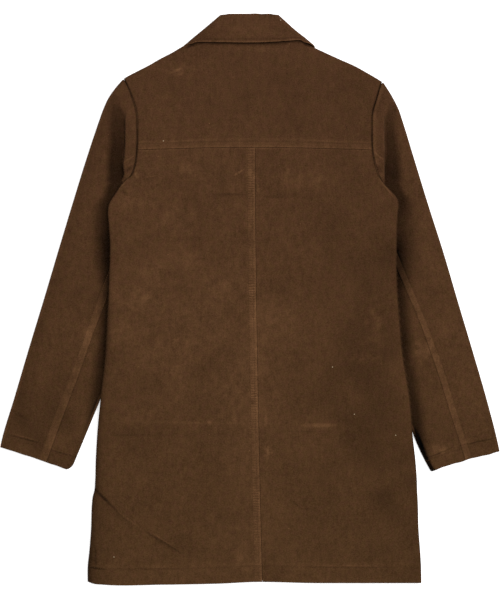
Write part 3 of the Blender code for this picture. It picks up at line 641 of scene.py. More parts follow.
# Camera: the photograph's frame is 500 by 598 pixels of 1.6 mm, seen from straight above
FRAME_HEIGHT = 0.9568
FRAME_CENTRE = (0.0, 0.0)
SEEN_HEIGHT = 0.008
CAMERA_DISTANCE = 3.2
SENSOR = 36.0

# Looks
SUEDE = (0.0622, 0.0300, 0.0117)
SUEDE_RED = (0.0650, 0.0284, 0.0131)
REDDER_UP = 0.8  # how fast the suede reddens from hem to collar
# Lighter suede, mixed in for wear and for painted highlights
SUEDE_LIGHT = (0.132, 0.0625, 0.0275)
LINT_PALE = (0.36, 0.28, 0.18)
THREAD = (0.077, 0.036, 0.0155)
FIBRE_PALE = 0.009
FLOOR = (0.93, 0.93, 0.93)
FLOOR_GLOW = 0.55
FLOOR_SIZE = 14.0
FLOOR_Z = -0.0004
# Noise of the nap: name, scale, detail, roughness, amount
NAP = (
    ("cloud", 11.0, 4.0, 0.60, 0.50),
    ("mottle", 85.0, 5.0, 0.62, 0.55),
    ("streak", 230.0, 3.0, 0.55, 0.46),
    ("grain", 560.0, 2.0, 0.55, 0.95),
)
NAP_BRUSHED = (1.0, 0.28, 1.0)
HUE_SCALE = 130.0
HUE_SWING = 3.0
RUNG_DRIFT = 9.0
RUNG_TONE = (0.34, 0.10)  # swing and mean of the ladder's rungs
WEAR_AND_LIGHT_BY_MOTTLE = (1.6, 0.2)  # swing and least of the wear and painted light
SHADE_DEPTH = 0.93
SPECK_SCALE = 62.0
SPECK_RADIUS = 0.045
SPECK_SHARE = 0.14
SURROUND = 0.62
KEY_PLACE = (2.8, 1.4, 5.6)
KEY_SIZE = 2.8
KEY_POWER = 272.0

Lines = namedtuple("Lines", "share inset drop")
Panel = namedtuple("Panel", "points top normal edges")


def curve(places, values, at):
    """Smooth curve through values at rising places."""
    places = np.array(places)
    values = np.array(values)
    slopes = np.gradient(values, places)
    at = np.clip(at, places[0], places[-1])
    k = np.clip(np.searchsorted(places, at) - 1, 0, len(places) - 2)
    span = places[k + 1] - places[k]
    t = (at - places[k]) / span
    start = (1 + 2 * t) * (1 - t) ** 2 * values[k] + t * (1 - t) ** 2 * span * slopes[k]
    end = t * t * (3 - 2 * t) * values[k + 1] + t * t * (t - 1) * span * slopes[k + 1]
    return start + end


def lookup(table, column, y):
    """Value of a table's column at height y. The table's rows go down from the highest."""
    return curve([row[0] for row in reversed(table)], [row[column] for row in reversed(table)], y)


def ease(low, high, value):
    """0 below low, 1 above high and smooth between them."""
    t = np.clip((value - low) / (high - low), 0.0, 1.0)
    return t * t * (3 - 2 * t)


def ridge(distance, half):
    return np.exp(-((distance / half) ** 2))


def unit(vectors):
    return vectors / np.linalg.norm(vectors, axis=-1, keepdims=True)


def split(points):
    return points[..., 0], points[..., 1]


def mix(a, b, share):
    return a + (b - a) * share


def plan(x, y):
    return np.stack(np.broadcast_arrays(x, y), axis=-1)


def ripple(x, y, wave, seed, count=12):
    """Smooth uneven surface about 1 high, from waves of about one length in many directions."""
    draw = np.random.RandomState(seed)
    total = 0.0
    for k in range(count):
        angle = draw.uniform(0, np.pi)
        turn = 2 * np.pi / (wave * draw.uniform(0.7, 1.5))
        total = total + np.sin((x * np.cos(angle) + y * np.sin(angle)) * turn + draw.uniform(0, 2 * np.pi))
    return total / np.sqrt(count / 2)


def unevenness(table, x, y):
    return sum(height * ripple(x, y, wave, seed) for height, wave, seed in table)


def body_edge(sleeve, y):
    return lookup(BODY_EDGE, sleeve.column, y)


def tuck(sleeve, y):
    """How far the sleeve's hidden inner fold lies in from the body's edge."""
    share = np.clip((STRIP_END_Y - y) / (STRIP_END_Y - sleeve.emerge), 0.0, 1.0)
    return TUCK * np.sin(np.pi * share ** TUCK_SKEW)


def side_lift(sleeve, x, y):
    """Rise of the body over the sleeve at one side."""
    inside = sleeve.side * (body_edge(sleeve, y) - x)
    level_reach = tuck(sleeve, y) + SIDE_LEVEL_REACH
    fade_top = sleeve.emerge - SIDE_FADE_START
    below = ease(fade_top - SIDE_FADE, fade_top, y)
    above = 1 - TIP_DROP * ease(PLEAT_FADE[0], TIP_Y, y)
    return LIFT * below * above * (1 - ease(level_reach, level_reach + SIDE_SLOPE, inside))


def neck_lift(x, y):
    """Rise of the body over the front half of the collar."""
    reach = np.hypot(x - NECK_CENTRE[0], y - NECK_CENTRE[1])
    return NECK_LIFT * (1 - ease(NECK_LEVEL_REACH, NECK_LEVEL_REACH + NECK_SLOPE, reach))


def crease_height(table, x, y):
    """Height of the creases: soft troughs and ridges, uneven along their length and fading at both ends."""
    total = np.zeros_like(x)
    for number, (x0, y0, x1, y1, bow, height, half) in enumerate(table):
        run_x = x1 - x0
        run_y = y1 - y0
        length = np.hypot(run_x, run_y)
        along = ((x - x0) * run_x + (y - y0) * run_y) / length
        share = np.clip(along / length, 0.0, 1.0)
        middle = bow * 4 * share * (1 - share) + CREASE_WANDER * half * np.sin(along / (4 * half) + number)
        aside = (run_x * (y - y0) - run_y * (x - x0)) / length - middle
        ends = ease(-half, 3 * half, along) * ease(-half, 3 * half, length - along)
        beat = np.sin(along * 2 * np.pi / (length * CREASE_BEAT) + 2.1 * number)
        uneven = 1 - CREASE_SWING + CREASE_SWING * beat
        total = total + height * ends * uneven * ridge(aside, half)
    return total


def front_height(x, y):
    lift = side_lift(LEFT, x, y) + side_lift(RIGHT, x, y) + neck_lift(x, y)
    return WALL / 2 + lift


def lapped_front_height(x, y):
    lap_start = FRONT_CENTRE_X - LAP_HALF - LAP_CLEAR
    return front_height(x, y) + LAP * ease(lap_start - LAP_SLOPE, lap_start, x)


def back_level(x, y):
    return front_height(x, y) + LAYER


def back_height(x, y):
    """Back with its creases and a slight unevenness all over."""
    return back_level(x, y) + crease_height(CREASES, x, y) + unevenness(BACK_UNEVEN, x, y)


def yoke_seam_y(x):
    half = np.where(x < 0, body_edge(LEFT, YOKE_END_Y), body_edge(RIGHT, YOKE_END_Y))
    return YOKE_END_Y + YOKE_ARCH * (1 - (x / half) ** 2)


def hem_y(x):
    return curve([row[0] for row in HEM_EDGE], [row[1] for row in HEM_EDGE], x)


def centre_seam(y):
    top = YOKE_END_Y + YOKE_ARCH
    share = np.clip((top - y) / (top - BODY_EDGE[-1][0]), 0.0, 1.0)
    return mix(CENTRE_TOP_X, CENTRE_HEM_X, share ** CENTRE_BEND)


def back_neck_y(x):
    return NECK_Y + BACK_NECK_RISE * (1 - (x / NECK_HALF) ** 2)


def front_neck_y(sleeve, x):
    """Neckline of one front: a straight slant from the shoulder to its edge past the centre."""
    return NECK_Y - FRONT_NECK_DROP * (1 - sleeve.side * x / NECK_HALF)


def side_roll(y):
    """1 where the body's side is a rolled edge, 0 where it is sewn to the sleeve's cap."""
    return 1 - ease(STRIP_END_Y, STRIP_FULL_Y, y)


def front_side_roll(y):
    """The same for a front, which stays flat on the sleeve at the underarm."""
    return 1 - ease(STRIP_END_Y - FRONT_ROLL_FADE, STRIP_END_Y, y)


def side_point(sleeve, y):
    """Edge of a body panel at the side, inside its outline by half a wall or half a seam."""
    inset = mix(SEAM_GAP / 2, WALL / 2, side_roll(y))
    return plan(body_edge(sleeve, y) - sleeve.side * inset, y)


def shoulder_point(sleeve, share):
    """Point of the shoulder edge, from 0 at the tip to 1 at the neck."""
    y = mix(sleeve.tip_y, NECK_Y, share)
    return plan(lookup(SHOULDER, sleeve.column, y), y - SHOULDER_INSET)


def rolled():
    """Lines of an edge that rolls to meet the other layer: distance in from the edge, drop from level."""
    radius = LAYER / 2
    angles = np.radians(ROLL_ANGLES)
    return list(zip(radius * (1 - np.cos(angles)), (radius - SEAM_GAP) * (1 - np.sin(angles))))


def level(places=EDGE_PLACES):
    return [(place, 0.0) for place in places]


def lines(start, end, length, step):
    """Lines of a grid from one edge to the other, close together at both."""
    first = start[-1][0]
    last = end[-1][0]
    shares = np.linspace(0, 1, int((length - first - last) / step) + 2)[1:-1]
    share = np.concatenate((np.zeros(len(start)), shares, np.ones(len(end))))
    between_edges = first * (1 - shares) - last * shares
    inset = np.concatenate(([p for p, d in start], between_edges, [-p for p, d in reversed(end)]))
    drop = np.concatenate(([d for p, d in start], np.zeros(len(shares)), [d for p, d in reversed(end)]))
    return Lines(share, inset, drop)


def coons(edges, u, v):
    """Plan points of a four-sided panel from its four edge curves."""
    left, right, bottom, top = edges
    across = u[..., None]
    up = v[..., None]
    zero = np.zeros(1)
    sides = (1 - across) * left(v) + across * right(v)
    ends = (1 - up) * bottom(u) + up * top(u)
    low = (1 - across) * bottom(zero) + across * bottom(zero + 1)
    high = (1 - across) * top(zero) + across * top(zero + 1)
    return sides + ends - (1 - up) * low - up * high


def body_points(edges, columns, rows, height, sign, roll=side_roll):
    """Points of a body panel, with its rolled edges turned down or up."""
    left, right, bottom, top = edges
    reach = np.linalg.norm(top(columns.share) - bottom(columns.share), axis=-1)
    v = rows.share[:, None] + rows.inset[:, None] / reach[None, :]
    width = np.linalg.norm(right(v) - left(v), axis=-1)
    u = columns.share[None, :] + columns.inset[None, :] / width
    x, y = split(coons(edges, u, v))
    on_shoulder = ease(NECK_HALF, NECK_HALF + NECK_SOFT, np.abs(x))
    drop = np.maximum(columns.drop[None, :] * roll(y), rows.drop[:, None] * on_shoulder)
    return np.stack((x, y, height(x, y) + sign * drop), axis=-1)


def sided_points(sleeve, edges, inner_lines, rows, height, sign, step, roll=side_roll):
    """Points of a left or right body panel from its side, inner edge, hem and top, given from the side in."""
    side, inner, hem, top = edges
    zero = np.zeros(1)
    width = abs(side(zero)[0, 0] - inner(zero)[0, 0])
    if sleeve.side < 0:
        columns = lines(rolled(), inner_lines, width, step)
        return body_points(edges, columns, rows, height, sign, roll)
    columns = lines(inner_lines, rolled(), width, step)
    turned = (inner, side, lambda u: hem(1 - u), lambda u: top(1 - u))
    return body_points(turned, columns, rows, height, sign, roll)


def edge_distances(points):
    """Distance of each point from the four edges of its grid, along the cloth."""
    across = np.linalg.norm(np.diff(points, axis=1), axis=-1)
    along = np.linalg.norm(np.diff(points, axis=0), axis=-1)
    start_u = np.concatenate((np.zeros((len(points), 1)), np.cumsum(across, axis=1)), axis=1)
    start_v = np.concatenate((np.zeros((1, points.shape[1])), np.cumsum(along, axis=0)), axis=0)
    end_u = start_u[:, -1:] - start_u
    end_v = start_v[-1:] - start_v
    return {"start_u": start_u, "end_u": end_u, "start_v": start_v, "end_v": end_v}


def grid_normals(points):
    du = np.gradient(points, axis=1)
    dv = np.gradient(points, axis=0)
    normal = np.cross(du, dv)
    return normal / np.maximum(np.linalg.norm(normal, axis=-1, keepdims=True), 1e-12)


def quads(index):
    corners = (index[:-1, :-1], index[:-1, 1:], index[1:, 1:], index[1:, :-1])
    return np.stack([corner.ravel() for corner in corners], axis=-1)


def mesh_object(name, vertices, faces):
    """Object from arrays of points and of four-cornered faces."""
    mesh = bpy.data.meshes.new(name)
    mesh.vertices.add(len(vertices))
    mesh.vertices.foreach_set("co", np.ascontiguousarray(vertices, dtype=np.float32).ravel())
    mesh.loops.add(faces.size)
    mesh.loops.foreach_set("vertex_index", np.ascontiguousarray(faces, dtype=np.int32).ravel())
    mesh.polygons.add(len(faces))
    mesh.polygons.foreach_set("loop_start", np.arange(len(faces), dtype=np.int32) * 4)
    mesh.update(calc_edges=True)
    mesh.validate()
    mesh.shade_smooth()
    thing = bpy.data.objects.new(name, mesh)
    bpy.context.scene.collection.objects.link(thing)
    return thing


def shell(node, points, wear_and_painted_light, shade, material, ladder=None, sewn_edges=()):
    """Thin closed cloth around a grid of points, with rounded edges and its marks as attributes."""
    edges = edge_distances(points)
    rims = {edge: SEWN_RIM if edge in sewn_edges else RIM for edge in edges}
    nearest = np.minimum.reduce([away / rims[edge] for edge, away in edges.items()])
    half = CLOTH / 2 * np.sqrt(1 - (1 - np.clip(nearest, 0.0, 1.0)) ** 2)
    normal = grid_normals(points)
    top = points + normal * half[..., None]
    under = points - normal * half[..., None]
    rows, columns = points.shape[:2]
    top_index = np.arange(rows * columns).reshape(rows, columns)
    under_index = top_index.copy()
    inside = np.arange((rows - 2) * (columns - 2)).reshape(rows - 2, columns - 2)
    under_index[1:-1, 1:-1] = rows * columns + inside
    vertices = np.concatenate((top.reshape(-1, 3), under[1:-1, 1:-1].reshape(-1, 3)))
    faces = np.concatenate((quads(top_index), quads(under_index)[:, ::-1]))
    cloth = mesh_object(f"{node}_cloth", vertices, faces)
    if ladder is None:
        ladder = np.zeros_like(wear_and_painted_light)
    # Marks as attributes: wear with painted light, painted shade, and the centre seam's ladder
    for name, values in (("wear_and_painted_light", wear_and_painted_light), ("shade", shade), ("ladder", ladder)):
        marks = np.concatenate((values.ravel(), values[1:-1, 1:-1].ravel())).astype(np.float32)
        attribute = cloth.data.attributes.new(name, "FLOAT", "POINT")
        attribute.data.foreach_set("value", marks)
    cloth.data.materials.append(material)
    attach(cloth, "root")
    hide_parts(node)
    return cloth, Panel(points, top, normal, edges)


def crease_tone(table, x, y):
    """Lighter nap on the creases' ridges, as wear and painted highlight, and painted shade in their troughs.
    """
    height = crease_height(table, x, y)
    wear_and_painted_light = np.clip(height / CREASE_FULL[0], 0, 1)
    shade = np.clip(-height / CREASE_FULL[1], 0, 1)
    return CREASE_TONE * wear_and_painted_light, CREASE_TONE * shade


def patches(x, y):
    """Brushed nap and painted light and shade, soft and uneven at its edge."""
    total = np.zeros_like(x)
    for px, py, half_x, half_y, amount in PATCHES:
        reach = np.hypot((x - px) / half_x, (y - py) / half_y)
        reach = reach + PATCH_RAGGED * ripple(x, y, (half_x + half_y) / 2, PATCH_SEED)
        total = total + amount * ridge(np.maximum(reach, 0.0), 1.0)
    return total


def marks(table, away):
    """Wear and painted light, painted shade and rise of a panel's sewn marks, from its distances to the edges
    they name.
    """
    total = 0.0
    for edge, form, place, width, *amounts in table:
        if form == "line":
            share = ridge(away[edge] - place, width)
        else:
            share = 1 - ease(place, place + width, away[edge])
        total = total + np.multiply.outer(amounts, share)
    return total


def pucker(along, seed):
    """Uneven gathering along a stitched line."""
    drift_turns, slow_turns, quick_turns = PUCKER_TURNS
    drift = PUCKER_DRIFT * np.sin(along * drift_turns + seed)
    beat = np.sin(2 * np.pi * along / PUCKER_WAVE + drift)
    swing = np.sin(along * slow_turns + 2 * seed) * np.sin(along * quick_turns + seed)
    return beat * (1 - PUCKER_SWING + PUCKER_SWING * swing)


def back_panel(sleeve, material):
    """Lower back on one side, from hem to yoke seam and from side to centre back."""
    side_hem = hem_y(np.array(body_edge(sleeve, BODY_EDGE[-1][0])))
    centre_hem = hem_y(np.array(CENTRE_HEM_X))
    centre_top = yoke_seam_y(np.array(CENTRE_TOP_X)) - SEAM_GAP / 2

    def side(v):
        return side_point(sleeve, mix(side_hem, YOKE_END_Y - SEAM_GAP / 2, v))

    def centre(v):
        y = mix(centre_hem, centre_top, v)
        return plan(centre_seam(y) + sleeve.side * SEAM_GAP / 2, y)

    ends = np.array((0.0, 1.0))
    hem_side, seam_side = side(ends)
    hem_centre, seam_centre = centre(ends)

    def hem(share):
        x = mix(hem_side[0], hem_centre[0], share)
        return plan(x, hem_y(x) + mix(hem_side[1] - hem_y(hem_side[0]), 0.0, share))

    def seam(share):
        x = mix(seam_side[0], seam_centre[0], share)
        return plan(x, yoke_seam_y(x) - SEAM_GAP / 2)

    rows = lines(level(), level(), BACK_LENGTH, FINE)
    edges = (side, centre, hem, seam)
    points = sided_points(sleeve, edges, level(CENTRE_PLACES), rows, back_height, -1, FINE)
    return finish_back(sleeve, points, material)


def finish_back(sleeve, points, material):
    """Sewn ridges and grooves of a back panel, its wear and painted light, and its painted shade."""
    edges = edge_distances(points)
    side, centre = ("start_u", "end_u") if sleeve.side < 0 else ("end_u", "start_u")
    from_side = edges[side]
    away = {"centre": edges[centre], "seam": edges["end_v"], "hem": edges["start_v"]}
    x, y = split(points)
    wear_and_painted_light, shade, rise = marks(BACK_MARKS["both"] + BACK_MARKS[sleeve.name], away)
    # Crease ridges lighter from wear and painted highlight, painted shade in the creases' troughs
    worn_and_painted_light, trough_shade = crease_tone(CREASES, x, y)
    wear_and_painted_light = wear_and_painted_light + worn_and_painted_light + patches(x, y)
    depth, half = BODY_ARMHOLE[sleeve.name]
    shade = shade + trough_shade + depth * ridge(from_side, half) * (1 - side_roll(y))
    ladder = np.zeros_like(x)
    if sleeve.side < 0:
        height, seed, place, half = CENTRE_GATHER
        rise = rise + height * pucker(y, seed) * ridge(away["centre"] - place, half)
        ladder = ease(*LADDER_START, away["centre"]) * (1 - ease(*LADDER_END, away["centre"]))
        for strength, swing, turns, phase in LADDER_WAVES:
            ladder = ladder * (strength + swing * np.sin(y * turns + phase))
        depth, half = LEFT_EDGE_SHADE
        shade = shade + depth * ridge(from_side, half) * (1 - ease(*LEFT_EDGE_Y, y))
        near, near_reach, wide, wide_reach = [lookup(LEFT_MARGIN, k, y) for k in range(1, 5)]
        shade = shade + near * (1 - ease(0.0, near_reach, from_side))
        shade = shade + wide * (1 - ease(0.0, wide_reach, from_side))
    else:
        depth, *reach = RIGHT_EDGE_SHADE
        shade = shade + depth * (1 - ease(*reach, from_side)) * (1 - ease(*RIGHT_EDGE_Y, y))
    points[..., 2] += rise
    return shell(f"back_{sleeve.name}", points, wear_and_painted_light, shade, material, ladder, ("end_v", centre))


def yoke_panel(material):
    """Yoke, from its seam to the shoulders and neckline and from armhole to armhole."""
    bottom_y = YOKE_END_Y + SEAM_GAP / 2

    def left(v):
        return side_point(LEFT, mix(bottom_y, LEFT.tip_y - SHOULDER_INSET, v))

    def right(v):
        return side_point(RIGHT, mix(bottom_y, RIGHT.tip_y - SHOULDER_INSET, v))

    zero = np.zeros(1)
    left_x = left(zero)[0, 0]
    right_x = right(zero)[0, 0]

    def seam(u):
        x = mix(left_x, right_x, u)
        return plan(x, yoke_seam_y(x) + SEAM_GAP / 2)

    def top(u):
        at_left = shoulder_point(LEFT, np.clip(u / YOKE_NECK_SHARE, 0, 1))
        at_right = shoulder_point(RIGHT, np.clip((1 - u) / YOKE_NECK_SHARE, 0, 1))
        x = mix(-NECK_HALF, NECK_HALF, (u - YOKE_NECK_SHARE) / (1 - 2 * YOKE_NECK_SHARE))
        neck = plan(x, back_neck_y(x) - SEAM_GAP / 2)
        places = np.where((u < YOKE_NECK_SHARE)[..., None], at_left, neck)
        return np.where((u > 1 - YOKE_NECK_SHARE)[..., None], at_right, places)

    columns = lines(level(), level(), right_x - left_x, FINE)
    rows = lines(level(), rolled(), YOKE_LENGTH, FINE)
    return finish_yoke(body_points((left, right, seam, top), columns, rows, back_height, -1), material)


def finish_yoke(points, material):
    """Stitched band over the yoke's seam, its armhole seams and the hollow under the collar's fall."""
    edges = edge_distances(points)
    away = {"seam": edges["start_v"], "left": edges["start_u"], "right": edges["end_u"]}
    x, y = split(points)
    wear_and_painted_light, shade, rise = marks(YOKE_MARKS, away)
    below_fall = curve([row[2] for row in COLLAR_BACK], [row[3] for row in COLLAR_BACK], x) - y
    under_fall = ease(FALL_HOLLOW[0], 0.0, below_fall) * (1 - ease(0.0, FALL_HOLLOW[1], below_fall))
    height, seed, place, half = YOKE_GATHER
    gathers = height * pucker(x, seed) * ridge(away["seam"] - place, half)
    wear_and_painted_light = wear_and_painted_light + patches(x, y)
    shade = shade + FALL_HOLLOW_SHADE * under_fall * (1 - ease(*FALL_HOLLOW_ENDS, np.abs(x)))
    points[..., 2] += rise + gathers - FALL_HOLLOW_DEPTH * under_fall
    return shell("back_yoke", points, wear_and_painted_light, shade, material, sewn_edges=("start_v",))


def front_panel(sleeve, material):
    """Front on one side, from hem to shoulder and neckline and from side to its edge past the centre."""
    front_x = FRONT_CENTRE_X - sleeve.side * LAP_HALF
    neck_x = sleeve.side * NECK_HALF
    height = lapped_front_height if sleeve.side < 0 else front_height

    def side(v):
        return side_point(sleeve, mix(FRONT_HEM_Y, sleeve.tip_y - SHOULDER_INSET, v))

    def edge(v):
        return plan(np.full_like(v, front_x), mix(FRONT_HEM_Y, front_neck_y(sleeve, front_x), v))

    zero = np.zeros(1)

    def hem(share):
        return mix(side(zero), edge(zero), share[..., None])

    def top(share):
        shoulder = shoulder_point(sleeve, np.clip(share / FRONT_NECK_SHARE, 0, 1))
        x = mix(neck_x, front_x, np.clip((share - FRONT_NECK_SHARE) / (1 - FRONT_NECK_SHARE), 0, 1))
        neck = plan(x, front_neck_y(sleeve, x))
        return np.where((share <= FRONT_NECK_SHARE)[..., None], shoulder, neck)

    rows = lines(level(), rolled(), FRONT_LENGTH, COARSE)
    points = sided_points(sleeve, (side, edge, hem, top), level(), rows, height, 1, COARSE, front_side_roll)
    plain = np.zeros(points.shape[:2])
    return shell(f"front_{sleeve.name}", points, plain, plain, material)


def inner_edge(sleeve, y):
    """Inner edge of the sleeve: armhole, hidden fold under the body, then the fold that shows."""
    inset = SEAM_GAP / 2 + DROP_CLEARANCE * (1 - ease(STRIP_FULL_Y, STRIP_FULL_Y + DROP_REACH, y))
    upper = body_edge(sleeve, y) + sleeve.side * (inset - tuck(sleeve, y))
    start = body_edge(sleeve, np.array(sleeve.emerge))
    corner = np.clip((sleeve.cuff_inner + sleeve.cuff_round - y) / sleeve.cuff_round, 0.0, 1.0)
    rounding = sleeve.cuff_round * (1 - np.sqrt(1 - corner ** 2))
    below = np.clip((sleeve.emerge - y) / (sleeve.emerge - sleeve.cuff_inner), 0.0, 1.0)
    inward = 4 * sleeve.sag * below * (1 - below)
    lower = start + sleeve.side * (sleeve.splay * (sleeve.emerge - y) + rounding - inward)
    return np.where(y >= sleeve.emerge, upper, lower)


def pleat(y, sharp, soft):
    """Start and end of the drop from the body's level, out from the armhole seam."""
    share = ease(*PLEAT_FADE, y)
    return mix(sharp[0], soft[0], share), mix(sharp[1], soft[1], share)


def strip_width(sleeve, y):
    return STRIP * np.clip((y - STRIP_END_Y) / sleeve.strip_taper, 0.0, 1.0) ** STRIP_BEND


def step_down(start, end, outside):
    return 1 - ease(0.0, 1.0, (outside - start) / (end - start))


def sleeve_under_height(sleeve, x, y):
    """Middle of the sleeve's lower wall, raised to the front's armhole edge near that seam."""
    outside = sleeve.side * (x - body_edge(sleeve, y))
    start, end = pleat(y, UNDER_STEP, SOFT_UNDER_STEP)
    rise = front_height(body_edge(sleeve, y), y) - WALL / 2
    return WALL / 2 + rise * (1 - side_roll(y)) * step_down(start, end, outside)


def sleeve_top_height(sleeve, x, y):
    """Middle of the sleeve's upper wall, with the pleat where its cap drops from the body's level."""
    outside = sleeve.side * (x - body_edge(sleeve, y))
    swell = ease(SLEEVE_SWELL_START, SLEEVE_SWELL_END, outside)
    low = WALL / 2 + mix(SLEEVE_PRESSED, SLEEVE_OPEN, swell)
    strip = strip_width(sleeve, y)
    start, end = pleat(y, (strip - STEP_HALF, strip + STEP_HALF), SOFT_STEP)
    rise = back_level(body_edge(sleeve, y), y) - WALL / 2 - SLEEVE_PRESSED
    closed = UNDERARM_RISE * ridge(outside, UNDERARM_HALF[0]) * ridge(y - STRIP_END_Y, UNDERARM_HALF[1])
    return low + closed + rise * (1 - side_roll(y)) * step_down(start, end, outside)


def sleeve_lines(sleeve, top_y):
    """Rows across the sleeve as outer and inner plan points, from the top to the cuff."""
    reach = top_y - sleeve.cuff_inner
    rows = lines(level(), level(), reach, FINE)
    inner_y = top_y - reach * rows.share - rows.inset
    last_y, last_lead = SLEEVE_ROWS[-1]
    cuff_share = np.clip((last_y - inner_y) / (last_y - sleeve.cuff_inner), 0.0, 1.0)
    cuff_lead = mix(last_lead, sleeve.cuff_outer - sleeve.cuff_inner, cuff_share)
    lead = np.where(inner_y > last_y, lookup(SLEEVE_ROWS, 1, inner_y), cuff_lead)
    outer_y = inner_y + lead
    outer = plan(lookup(SLEEVE_OUTER, sleeve.column, outer_y), outer_y)
    return outer, plan(inner_edge(sleeve, inner_y), inner_y)


def seam_distance(sleeve, outer, inner, length):
    """Distance from the outer edge to the seam along the upper side of the sleeve."""
    share = np.full(len(outer), SEAM_FIRST_SHARE)
    for step in range(SEAM_ROUNDS):
        y = mix(outer[:, 1], inner[:, 1], share)
        share = (lookup(SLEEVE_SEAM, sleeve.column, y) - outer[:, 0]) / (inner[:, 0] - outer[:, 0])
    parted = np.minimum(share * length, length - UNDER_LEAST)
    return np.where(inner[:, 1] > UNDER_SLEEVE_TOP_Y, length, parted)


def front_seam_distance(inner, length):
    """Distance from the outer edge to the seam along the lower side of the sleeve."""
    below = UNDER_SLEEVE_TOP_Y - inner[:, 1]
    parted = length - np.minimum(FRONT_SEAM_INSET, UNDER_LEAST + FRONT_SEAM_TAPER * below)
    return np.where(below < 0, length, parted)


def fold_points(sleeve, edge, inward):
    """Half circles of points around one edge fold of the sleeve, and how far each reaches in."""
    near = edge + inward * (WALL / 2 + SLEEVE_PRESSED / 2)
    high = sleeve_top_height(sleeve, near[:, 0], near[:, 1])
    low = sleeve_under_height(sleeve, near[:, 0], near[:, 1])
    radius = (high - low) / 2
    angles = np.radians(FOLD_ANGLES)
    reach = WALL / 2 + radius[:, None] * (1 - np.cos(angles)[None, :])
    places = edge[:, None, :] + inward[:, None, :] * reach[..., None]
    z = ((high + low) / 2)[:, None] + radius[:, None] * np.sin(angles)[None, :]
    return np.concatenate((places, z[..., None]), axis=-1), WALL / 2 + radius


def sleeve_wall(sleeve, outer, run, distance, height):
    """Points of the sleeve's upper or lower wall at distances from its outer edge."""
    places = outer[:, None, :] + run[:, None, :] * distance[..., None]
    z = height(sleeve, places[..., 0], places[..., 1])
    return np.concatenate((places, z[..., None]), axis=-1)


def between(start, end, shares):
    return start[:, None] + (end - start)[:, None] * np.array(shares)[None, :]


def sleeve_relief(points, upper):
    """Creases and unevenness on the sleeve's upper wall, fading out round its folds."""
    x, y = split(points)
    return (crease_height(SLEEVE_CREASES, x, y) + unevenness(SLEEVE_UNEVEN, x, y)) * upper


def cuff_shift(sleeve, points, outer, inner):
    """Uneven line of the cuff, which fades away up the sleeve."""
    length = np.linalg.norm(inner - outer, axis=-1)[:, None]
    share = np.clip(np.linalg.norm(points[..., :2] - outer[:, None, :], axis=-1) / length, 0.0, 1.0)
    fade_start, fade_end = [sleeve.cuff_inner + above for above in CUFF_FADE]
    near_cuff = ease(fade_start, fade_end, inner[:, 1])[:, None]
    wave = np.sin(np.pi * share)
    for height, turns, phase in CUFF_WAVES:
        wave = wave + height * np.sin(share * turns + phase * sleeve.side)
    return sleeve.cuff_bow * near_cuff * wave


def sleeve_shade(sleeve, x, y):
    """Shade on the sleeve beside the body and beside the pleat of its cap."""
    outside = sleeve.side * (x - body_edge(sleeve, y)) - strip_width(sleeve, y)
    depth, level_reach, fade_reach = [lookup(HOLLOW, 3 * sleeve.column - 2 + k, y) for k in range(3)]
    on_strip = ease(*HOLLOW_RAMP_Y, y)
    start, full = [mix(low, high, on_strip) for low, high in zip(*HOLLOW_RAMP)]
    begun = ease(0.0, 1.0, (outside - start) / (full - start))
    return depth * begun * (1 - ease(level_reach, fade_reach, outside))


def sleeve_top_piece(sleeve, material):
    """Outer part of the sleeve: from its upper seam round the outer fold to its lower seam."""
    outer, inner = sleeve_lines(sleeve, sleeve.tip_y - TIP_CLEAR)
    length = np.linalg.norm(inner - outer, axis=-1)
    run = (inner - outer) / length[:, None]
    fold, fold_reach = fold_points(sleeve, outer, run)
    start = seam_distance(sleeve, outer, inner, length)
    start = start - np.where(start == length, 0.0, SEAM_GAP / 2)
    end = front_seam_distance(inner, length)
    end = end - np.where(end == length, 0.0, SEAM_GAP / 2)
    squeeze = np.minimum(1.0, start / SQUEEZE_LENGTH)
    strip = np.minimum(np.maximum(strip_width(sleeve, inner[:, 1]), STRIP / 2), STRIP_MOST * start)
    flange_reach, flange_drop = np.array(FLANGE).T
    turned = start[:, None] + flange_reach[None, :]
    turn_down = np.where(inner[:, 1] > UNDER_SLEEVE_TOP_Y, 1.0, FLANGE_UNDER_SLEEVE)
    turned_points = sleeve_wall(sleeve, outer, run, turned, sleeve_top_height)
    turned_points[..., 2] = sleeve_wall(sleeve, outer, run, start[:, None], sleeve_top_height)[..., 2]
    turned_points[..., 2] -= turn_down[:, None] * flange_drop[None, :]
    near = start[:, None] - squeeze[:, None] * np.array(EDGE_PLACES)[None, :]
    steps = np.array(STEP_PLACES) * STEP_HALF
    at_step = (start - strip)[:, None] - squeeze[:, None] * steps[None, :]
    on_strip = between(near[:, -1], at_step[:, 0], STRIP_SHARES)
    beyond = between(at_step[:, -1], fold_reach, np.linspace(0, 1, UPPER_COLUMNS)[1:])
    upper = np.concatenate((near, on_strip, at_step, beyond), axis=1)
    step_out = np.minimum(UNDER_STEP[1], STRIP_MOST * end)
    flat = between(fold_reach, end - step_out, np.linspace(0, 1, LOWER_COLUMNS))
    rim = between(end - step_out, end, RIM_SHARES)
    under = np.concatenate((flat, rim), axis=1)
    points = np.concatenate((
        turned_points,
        sleeve_wall(sleeve, outer, run, upper, sleeve_top_height),
        fold,
        sleeve_wall(sleeve, outer, run, under, sleeve_under_height),
    ), axis=1)
    on_top = np.zeros(points.shape[1])
    on_top[len(FLANGE) + 1: len(FLANGE) + upper.shape[1] - 1] = 1.0
    return finish_sleeve(sleeve, "top", points, outer, inner, on_top, material)


